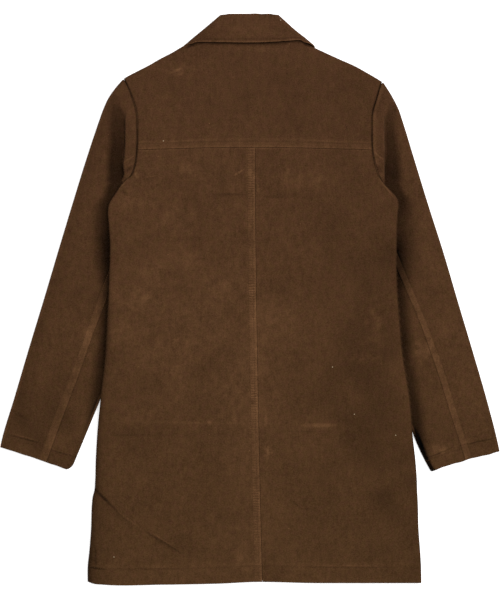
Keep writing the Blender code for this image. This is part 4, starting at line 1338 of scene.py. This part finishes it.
def sleeve_under_piece(sleeve, material):
    """Under part of the sleeve: from its upper seam round the inner fold to its lower seam."""
    outer, inner = sleeve_lines(sleeve, UNDER_SLEEVE_TOP_Y - UNDER_PIECE_CLEAR)
    length = np.linalg.norm(inner - outer, axis=-1)
    run = (inner - outer) / length[:, None]
    fold, fold_reach = fold_points(sleeve, inner, -run)
    start = seam_distance(sleeve, outer, inner, length) + SEAM_GAP / 2
    end = front_seam_distance(inner, length) + SEAM_GAP / 2
    fold_start = length - fold_reach
    edge = np.array(SEAM_SHARES)
    upper = between(start, fold_start, np.concatenate((edge, np.linspace(*UNDER_PIECE_UPPER))))
    under = between(fold_start, end, np.concatenate((np.linspace(*UNDER_PIECE_LOWER), 1 - edge[::-1])))
    points = np.concatenate((
        sleeve_wall(sleeve, outer, run, upper, sleeve_top_height),
        fold,
        sleeve_wall(sleeve, outer, run, under, sleeve_under_height),
    ), axis=1)
    on_top = np.zeros(points.shape[1])
    on_top[: upper.shape[1] - 1] = 1.0
    return finish_sleeve(sleeve, "under", points, outer, inner, on_top, material)


def finish_sleeve(sleeve, part, points, outer, inner, on_top, material):
    """Sewn lines of a sleeve piece, its creases, its wavy cuff, its wear and painted light, and its painted
    shade.
    """
    upper = on_top[None, :]
    edges = edge_distances(points)
    seam_column = len(FLANGE) if part == "top" else 0
    from_seam = edges["start_u"] - edges["start_u"][:, seam_column:seam_column + 1]
    away = {"seam": from_seam, "stitch": from_seam - sleeve.stitch, "cuff": edges["end_v"]}
    points[..., 2] += sleeve_relief(points, upper)
    points[..., 1] += cuff_shift(sleeve, points, outer, inner)
    x, y = split(points)
    parted = (inner[:, 1] < UNDER_SLEEVE_TOP_Y)[:, None]
    at_armhole = (inner[:, 1] > UNDER_SLEEVE_TOP_Y)[:, None]
    sewn = marks(CUFF_MARKS, away) + marks(SEAM_MARKS[part], away) * parted
    wear_and_painted_light, shade, rise = (sewn + marks(ARMHOLE_MARKS[sleeve.name], away) * at_armhole) * upper
    points[..., 2] += rise
    # Crease ridges lighter from wear and painted highlight, painted shade in the creases' troughs
    worn_and_painted_light, trough_shade = crease_tone(SLEEVE_CREASES, x, y)
    wear_and_painted_light = wear_and_painted_light + (worn_and_painted_light + patches(x, y)) * upper
    shade = shade + (trough_shade + sleeve_shade(sleeve, x, y)) * upper
    if sleeve.side < 0:
        depth, reach = OUTER_SHADE
        from_outer = np.abs(x - lookup(SLEEVE_OUTER, sleeve.column, y))
        shown = ease(*OUTER_SHADE_TOP_Y, y) * (1 - OUTER_SHADE_LESS * ease(*OUTER_SHADE_LOW_Y, y))
        shade = shade + depth * shown * (1 - ease(0.0, reach, from_outer)) * upper
    if part == "under":
        from_inner = np.linalg.norm(points[..., :2] - inner[:, None, :], axis=-1)
        shown = 1 - ease(sleeve.emerge - INNER_SHADE_FADE, sleeve.emerge + INNER_SHADE_FADE, y)
        shade = shade + INNER_SHADE[sleeve.name] * shown * (1 - ease(*INNER_SHADE_REACH, from_inner))
    cloth, panel = shell(f"sleeve_{sleeve.name}_{part}", points, wear_and_painted_light, np.clip(shade, 0, 1), material)
    panel.edges["seam_u"] = from_seam
    return cloth, panel


def bezier(start, bend, end, share):
    """Points of a curve with one control point."""
    share = share[:, None]
    first = mix(np.array(start), np.array(bend), share)
    second = mix(np.array(bend), np.array(end), share)
    return mix(first, second, share)


def collar_turn(back_reach):
    """Columns round one side fold of the collar, from its front to its back."""
    angle = np.linspace(-90, 90, TURN_COLUMNS)
    reach = mix(1.0, back_reach, ((1 + angle / 90) / 2) ** FALL_REACH_BEND)[:, None]
    axis = np.array(AXIS_FALL) - np.array(AXIS_ROLL)
    lower = AXIS_ROUND * np.cos(np.radians(angle))[:, None] * unit(axis)
    neck = np.repeat([AXIS_NECK], len(angle), axis=0)
    fall = mix(np.array(AXIS_ROLL), np.array(AXIS_FALL), reach)
    return neck, np.array(AXIS_ROLL) + lower, fall, angle


def collar_columns():
    """Columns of the collar from its left front end round to its right: neck, roll, fall, turn and side."""
    near_end = 1 - np.array(EDGE_PLACES[:5]) / COLLAR_FRONT_LENGTH
    share = np.unique(np.concatenate((np.linspace(0, 1, FRONT_COLUMNS)[1:], near_end)))[::-1]
    x = mix(-NECK_HALF, COLLAR_END_X, share)
    neck = plan(x, front_neck_y(LEFT, x)) + COLLAR_GAP
    roll = bezier(AXIS_ROLL, ROLL_BEND, ROLL_END, share)
    fall = bezier(AXIS_FALL, FALL_BEND, FALL_END, share)
    left_front = (neck, roll, fall, np.full(len(share), -90.0))
    left_turn, right_turn = [collar_turn(reach) for reach in BACK_FALL_REACH]
    roll_x = np.linspace(AXIS_ROLL[0], -AXIS_ROLL[0], BACK_COLUMNS)[1:-1]
    rows = [[row[k] for row in COLLAR_BACK] for k in range(5)]
    roll_y, fall_x, fall_y, neck_share = [curve(rows[0], rows[k], roll_x) for k in range(1, 5)]
    neck_x = -neck_share * NECK_HALF
    neck = plan(neck_x, back_neck_y(neck_x) + COLLAR_GAP)
    back = (neck, plan(roll_x, roll_y), plan(fall_x, fall_y), np.full(len(roll_x), 90.0))

    def mirrored(part):
        flip = np.array((-1.0, 1.0))
        return [values[::-1] * flip for values in part[:3]] + [part[3][::-1]]

    parts = (left_front, left_turn, back, mirrored(right_turn), mirrored(left_front))
    sides = np.concatenate([np.full(len(part[3]), side) for part, side in zip(parts, (1, 1, 1, -1, -1))])
    return [np.concatenate([part[k] for part in parts]) for k in range(4)] + [sides]


def collar_points():
    """Sections of the collar: up its stand, round the roll line and down its fall."""
    neck, roll, fall, angle, side = collar_columns()
    stand_radius = LAYER / 2
    fall_radius = stand_radius + NECK_LIFT
    middle_z = WALL / 2 + NECK_LIFT + LAYER / 2
    axis_run = np.array(AXIS_ROLL) - np.array(AXIS_FALL)
    outward = unit(np.array((-axis_run[1], axis_run[0])))
    outward = outward[None, :] * np.stack((side, np.ones_like(side)), axis=-1)
    away = unit(roll - fall)
    turn = np.radians(angle)

    def place(at, radius):
        places = at + outward * (radius * np.cos(turn))[:, None]
        return np.concatenate((places, (middle_z + radius * np.sin(turn))[:, None]), axis=-1)

    half_step = (fall_radius - stand_radius) / 2
    rows = [place(mix(neck, roll, share), stand_radius) for share in STAND_SHARES]
    for bend in np.radians(BEND_ANGLES):
        radius = stand_radius + half_step * (1 + np.sin(bend))
        rows.append(place(roll + away * half_step * np.cos(bend), radius))
    fall_shares = np.concatenate((np.linspace(0, FALL_LINES_END, FALL_LINES), FALL_EDGE_SHARES))
    rows += [place(mix(roll, fall, share), fall_radius) for share in fall_shares]
    points = np.stack(rows)
    free = np.ones(len(rows))
    free[:len(STAND_SHARES)] = STAND_SHARES
    at_left, at_right = [lookup(COLLAR_SET, k, points[..., 1]) for k in (1, 2)]
    across = ease(-COLLAR_SET_REACH, COLLAR_SET_REACH, points[..., 0])
    points[..., 0] += free[:, None] * mix(at_left, at_right, across)
    return points


def collar_piece(material):
    """Collar, folded on its roll line, with a stitched edge."""
    points = collar_points()
    edges = edge_distances(points)
    from_fall = edges["end_v"]
    wear_and_painted_light, shade, rise = marks(COLLAR_MARKS, {"fall": from_fall})
    height, seed = COLLAR_GATHER
    uneven = unevenness(COLLAR_UNEVEN, *split(points)) + height * pucker(edges["start_u"], seed)
    rise = rise + uneven * ease(*FALL_WIDTH, from_fall)
    normal = grid_normals(points)
    outward = np.sign(normal[-3, normal.shape[1] // 2, 2])
    points = points + normal * (outward * rise)[..., None]
    return shell("collar", points, wear_and_painted_light + patches(*split(points)), shade, material)


def line_at(panel, edge, distance, top_y):
    """Line on a panel's top at a distance from an edge, and the cloth's direction there, up to a height."""
    away, *sides = panel.edges[edge], panel.top, panel.normal
    if edge.endswith("u"):
        away, *sides = [np.swapaxes(values, 0, 1) for values in (away, *sides)]
    if edge.startswith("end"):
        away, *sides = [values[::-1] for values in (away, *sides)]
    found = []
    for side in sides:
        columns = zip(away.T, np.swapaxes(side, 0, 1))
        found.append(np.array([along_line(values, at, distance) for at, values in columns]))
    line, normal = found
    shown = line[:, 1] < top_y
    return line[shown], normal[shown]


def stitch_form():
    """One stitch of unit length and half width 1, lying along its first axis: points and faces."""
    angles = np.arange(STITCH_SIDES) * 2 * np.pi / STITCH_SIDES
    points = []
    for at, wide, lift in STITCH_RINGS:
        points += [(at, wide * np.cos(angle), lift + wide * np.sin(angle)) for angle in angles]
    index = np.arange(len(points)).reshape(len(STITCH_RINGS), STITCH_SIDES)
    index = np.concatenate((index, index[:, :1]), axis=1)
    ends = np.array(((0, 5, 4, 3), (0, 3, 2, 1)))
    far = ends[:, ::-1] + len(points) - STITCH_SIDES
    return np.array(points), np.concatenate((quads(index)[:, ::-1], ends, far))


def along_line(line, places, at):
    """Points of a line at distances along it."""
    return np.stack([np.interp(at, places, line[:, k]) for k in range(3)], axis=-1)


def stitches(name, rows, material):
    """Stitches along lines of the cloth, as one mesh."""
    form, faces = stitch_form()
    form = form * np.array((STITCH_LENGTH, STITCH_HALF, STITCH_HALF))
    draw = np.random.RandomState(STITCH_SEED)
    made = []
    for line, normal in rows:
        steps = np.linalg.norm(np.diff(line, axis=0), axis=-1)
        places = np.concatenate(((0.0,), np.cumsum(steps)))
        centres = np.arange(STITCH_PITCH, places[-1] - STITCH_PITCH / 2, STITCH_PITCH)
        centres = centres + draw.uniform(-STITCH_UNEVEN, STITCH_UNEVEN, len(centres)) * STITCH_PITCH
        behind, at, ahead = [along_line(line, places, centres + k * STITCH_LENGTH / 2) for k in (-1, 0, 1)]
        forward = unit(ahead - behind)
        aside = unit(np.cross(along_line(normal, places, centres), forward))
        up = np.cross(forward, aside)
        forward = forward + draw.uniform(-STITCH_UNEVEN, STITCH_UNEVEN, len(centres))[:, None] * aside
        made.append(at[:, None, :] + form @ np.stack((forward, aside, up), axis=1))
    vertices = np.concatenate(made)
    corners = faces[None] + len(form) * np.arange(len(vertices))[:, None, None]
    sewn = mesh_object(name, vertices.reshape(-1, 3), corners.reshape(-1, 4))
    sewn.data.materials.append(material)
    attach(sewn, "root")
    return sewn


class Graph:
    """Node tree of a new material. Inputs are values or other nodes' sockets."""

    def __init__(self, name):
        self.material = bpy.data.materials.new(name)
        self.material.use_nodes = True
        self.tree = self.material.node_tree
        self.place = self.add("TexCoord").outputs["Object"]

    def plug(self, node, inputs):
        """Set inputs of a node that are named by i and a number, or by their label."""
        for name, value in inputs.items():
            socket = node.inputs[int(name[1:]) if name[1:].isdigit() else name.replace("_", " ")]
            if isinstance(value, bpy.types.NodeSocket):
                self.tree.links.new(value, socket)
            else:
                socket.default_value = value

    def add(self, kind, settings=(), **inputs):
        made = self.tree.nodes.new(f"ShaderNode{kind}")
        for name, value in dict(settings).items():
            setattr(made, name, value)
        self.plug(made, inputs)
        return made

    def surface(self, **inputs):
        """Set the shader's inputs and hand over the material."""
        self.plug(self.tree.nodes["Principled BSDF"], inputs)
        return self.material

    def math(self, operation, *values):
        inputs = {f"i{k}": value for k, value in enumerate(values)}
        return self.add("Math", {"operation": operation}, **inputs).outputs[0]

    def scaled(self, value, factor, more=0.0):
        return self.math("MULTIPLY_ADD", value, factor, more)

    def vector(self, operation, output=0, **inputs):
        return self.add("VectorMath", {"operation": operation}, **inputs).outputs[output]

    def noise(self, vector, scale, detail=3.0, roughness=0.55):
        made = self.add("TexNoise", Vector=vector, Scale=scale, Detail=detail, Roughness=roughness)
        return made.outputs["Fac"]

    def mark(self, name):
        return self.add("Attribute", {"attribute_name": name}).outputs["Fac"]

    def blend(self, share, first, second):
        settings = {"data_type": "RGBA", "clamp_factor": True}
        return self.add("Mix", settings, i0=share, i6=first, i7=second).outputs[2]

    def bump(self, strength, distance, height):
        return self.add("Bump", Strength=strength, Distance=distance, Height=height).outputs[0]

    def spot(self, vector, centre, angle, half_length, half_width):
        """1 at the centre of a slanted ellipse in plan, fading to 0 at its edge."""
        turned = self.add("Mapping", {"vector_type": "TEXTURE"}, Vector=vector, Location=(*centre, 0.0),
                          Rotation=(0.0, 0.0, angle), Scale=(half_length, half_width, 1.0)).outputs[0]
        reach = self.vector("LENGTH", "Value", i0=turned)
        return self.math("MAXIMUM", self.math("SUBTRACT", 1.0, self.math("MULTIPLY", reach, reach)), 0.0)


def strokes(graph):
    """Thin painted highlights and painted shade on the nap, slightly wavy."""
    wave = graph.add("TexNoise", Vector=graph.place, Scale=STROKE_WAVES, Detail=2.0).outputs["Color"]
    aside = graph.vector("SUBTRACT", i0=wave, i1=(0.5, 0.5, 0.5))
    wavy = graph.vector("MULTIPLY_ADD", i0=aside, i1=(2 * STROKE_WOBBLE,) * 3, i2=graph.place)
    total = 0.0
    for x0, y0, x1, y1, half, amount in STROKES:
        centre = ((x0 + x1) / 2, (y0 + y1) / 2)
        angle = np.arctan2(y1 - y0, x1 - x0)
        mark = graph.spot(wavy, centre, angle, np.hypot(x1 - x0, y1 - y0) / 2, half)
        total = graph.scaled(mark, amount, total)
    return total


def pale_lint(graph):
    total = 0.0
    for centre in LINT:
        total = graph.math("ADD", graph.spot(graph.place, centre, 0.0, LINT_RADIUS, LINT_RADIUS), total)
    return total


def small_specks(graph):
    """Pale specks of nap, in a few of the cells of an even scatter."""
    scatter = graph.add("TexVoronoi", Vector=graph.place, Scale=SPECK_SCALE)
    chance = graph.add("SeparateColor", Color=scatter.outputs["Color"]).outputs[0]
    near = graph.math("LESS_THAN", scatter.outputs["Distance"], SPECK_RADIUS)
    return graph.math("MULTIPLY", near, graph.math("GREATER_THAN", chance, 1 - SPECK_SHARE))


def suede_material():
    """Brushed brown suede: mottled nap, fine grain, wear and painted highlights, painted shade in hollows."""
    graph = Graph("suede")
    brushed = graph.add("Mapping", Vector=graph.place, Scale=NAP_BRUSHED).outputs[0]
    nap = {}
    tone = 1.0
    for name, scale, detail, roughness, amount in NAP:
        nap[name] = graph.noise(brushed if name == "streak" else graph.place, scale, detail, roughness)
        tone = graph.scaled(graph.math("SUBTRACT", nap[name], 0.5), amount, tone)
    mottle = nap["mottle"]
    along = graph.add("SeparateXYZ", Vector=graph.place).outputs["Y"]
    turns = graph.scaled(along, 2 * np.pi / PUCKER_WAVE, graph.math("MULTIPLY", mottle, RUNG_DRIFT))
    rungs = graph.scaled(graph.math("SINE", turns), *RUNG_TONE)
    # Wear, the ladder's rungs and the strokes: rubbed nap mixed with painted highlights and painted shade
    worn_and_painted_light = graph.math("ADD", graph.scaled(graph.mark("ladder"), rungs, graph.mark("wear_and_painted_light")), strokes(graph))
    rubbed_and_painted_light = graph.math("MULTIPLY", worn_and_painted_light, graph.scaled(mottle, *WEAR_AND_LIGHT_BY_MOTTLE))
    dark = graph.math("ADD", graph.math("MINIMUM", rubbed_and_painted_light, 0.0), 1.0)
    tone = graph.math("MULTIPLY", tone, graph.scaled(graph.mark("shade"), -SHADE_DEPTH, dark))
    light = graph.math("ADD", graph.math("MAXIMUM", rubbed_and_painted_light, 0.0), small_specks(graph))
    hue = graph.math("SUBTRACT", graph.noise(graph.place, HUE_SCALE, 2.0), 0.5)
    warm = graph.scaled(along, REDDER_UP, graph.scaled(hue, HUE_SWING, 0.5))
    body = graph.blend(warm, (*SUEDE, 1.0), (*SUEDE_RED, 1.0))
    brown = graph.vector("SCALE", Vector=graph.blend(light, body, (*SUEDE_LIGHT, 1.0)), Scale=tone)
    fibres = graph.math("MULTIPLY", graph.math("SUBTRACT", nap["grain"], 0.5), FIBRE_PALE)
    spread = graph.add("CombineXYZ", i0=fibres, i1=fibres, i2=fibres).outputs[0]
    napped = graph.vector("ADD", i0=brown, i1=spread)
    height = graph.scaled(mottle, 0.6, graph.math("ADD", nap["grain"], nap["streak"]))
    return graph.surface(
        Base_Color=graph.blend(pale_lint(graph), napped, (*LINT_PALE, 1.0)),
        Roughness=graph.scaled(mottle, 0.12, 0.84),
        Normal=graph.bump(0.35, 0.0007, height),
        Specular_IOR_Level=0.016,
        Sheen_Weight=0.03,
        Sheen_Roughness=0.55,
        Sheen_Tint=(0.85, 0.60, 0.42, 1.0),
    )


def thread_material():
    """Twisted sewing thread, a little lighter than the suede."""
    graph = Graph("thread")
    twist = graph.noise(graph.place, 1400.0, 2.0)
    return graph.surface(
        Base_Color=graph.vector("SCALE", Vector=THREAD, Scale=graph.scaled(twist, 0.7, 0.65)),
        Normal=graph.bump(0.4, 0.0002, twist),
        Roughness=0.8,
        Specular_IOR_Level=0.03,
    )


def floor_material():
    """Plain white paper."""
    graph = Graph("floor_paper")
    tone = graph.scaled(graph.noise(graph.place, 40.0), 0.01, 0.995)
    return graph.surface(
        Base_Color=graph.vector("SCALE", Vector=FLOOR, Scale=tone),
        Roughness=0.9,
        Specular_IOR_Level=0.1,
        Emission_Color=(1.0, 1.0, 1.0, 1.0),
        Emission_Strength=FLOOR_GLOW,
    )


def make_floor():
    """White surface under the jacket."""
    place = (0, 0, FLOOR_Z)
    bpy.ops.mesh.primitive_grid_add(x_subdivisions=8, y_subdivisions=8, size=FLOOR_SIZE, location=place)
    floor = bpy.context.object
    floor.name = "floor"
    floor.data.materials.append(floor_material())


def make_camera():
    """Camera straight above the jacket, with its top at the collar."""
    data = bpy.data.cameras.new("camera")
    data.sensor_width = SENSOR
    data.lens = SENSOR * CAMERA_DISTANCE / FRAME_HEIGHT
    data.clip_end = 100.0
    camera = bpy.data.objects.new("camera", data)
    camera.location = (*FRAME_CENTRE, SEEN_HEIGHT + CAMERA_DISTANCE)
    bpy.context.scene.collection.objects.link(camera)
    bpy.context.scene.camera = camera


def make_lights():
    """Even white surround and one large soft light, to the right of the collar end."""
    world = bpy.data.worlds.new("surround")
    world.use_nodes = True
    surround = world.node_tree.nodes["Background"]
    surround.inputs["Color"].default_value = (1.0, 1.0, 1.0, 1.0)
    surround.inputs["Strength"].default_value = SURROUND
    bpy.context.scene.world = world
    data = bpy.data.lights.new("key", "AREA")
    data.shape = "SQUARE"
    data.size = KEY_SIZE
    data.energy = KEY_POWER
    light = bpy.data.objects.new("key", data)
    light.location = KEY_PLACE
    light.rotation_mode = "QUATERNION"
    light.rotation_quaternion = (-Vector(KEY_PLACE)).to_track_quat("-Z", "Y")
    bpy.context.scene.collection.objects.link(light)
    bpy.context.scene.view_settings.view_transform = "Standard"


def main():
    make_camera()
    suede = suede_material()
    thread = thread_material()
    make_floor()
    make_lights()
    made = {
        "back_yoke": yoke_panel(suede),
        "collar": collar_piece(suede),
    }
    for sleeve in (LEFT, RIGHT):
        made[f"back_{sleeve.name}"] = back_panel(sleeve, suede)
        made[f"front_{sleeve.name}"] = front_panel(sleeve, suede)
        made[f"sleeve_{sleeve.name}_top"] = sleeve_top_piece(sleeve, suede)
        made[f"sleeve_{sleeve.name}_under"] = sleeve_under_piece(sleeve, suede)
    for node, (cloth, panel) in made.items():
        if node in SEWING:
            rows = [line_at(panel, *row) for row in SEWING[node]]
            stitches(f"{node}_stitches", rows, thread)


main()
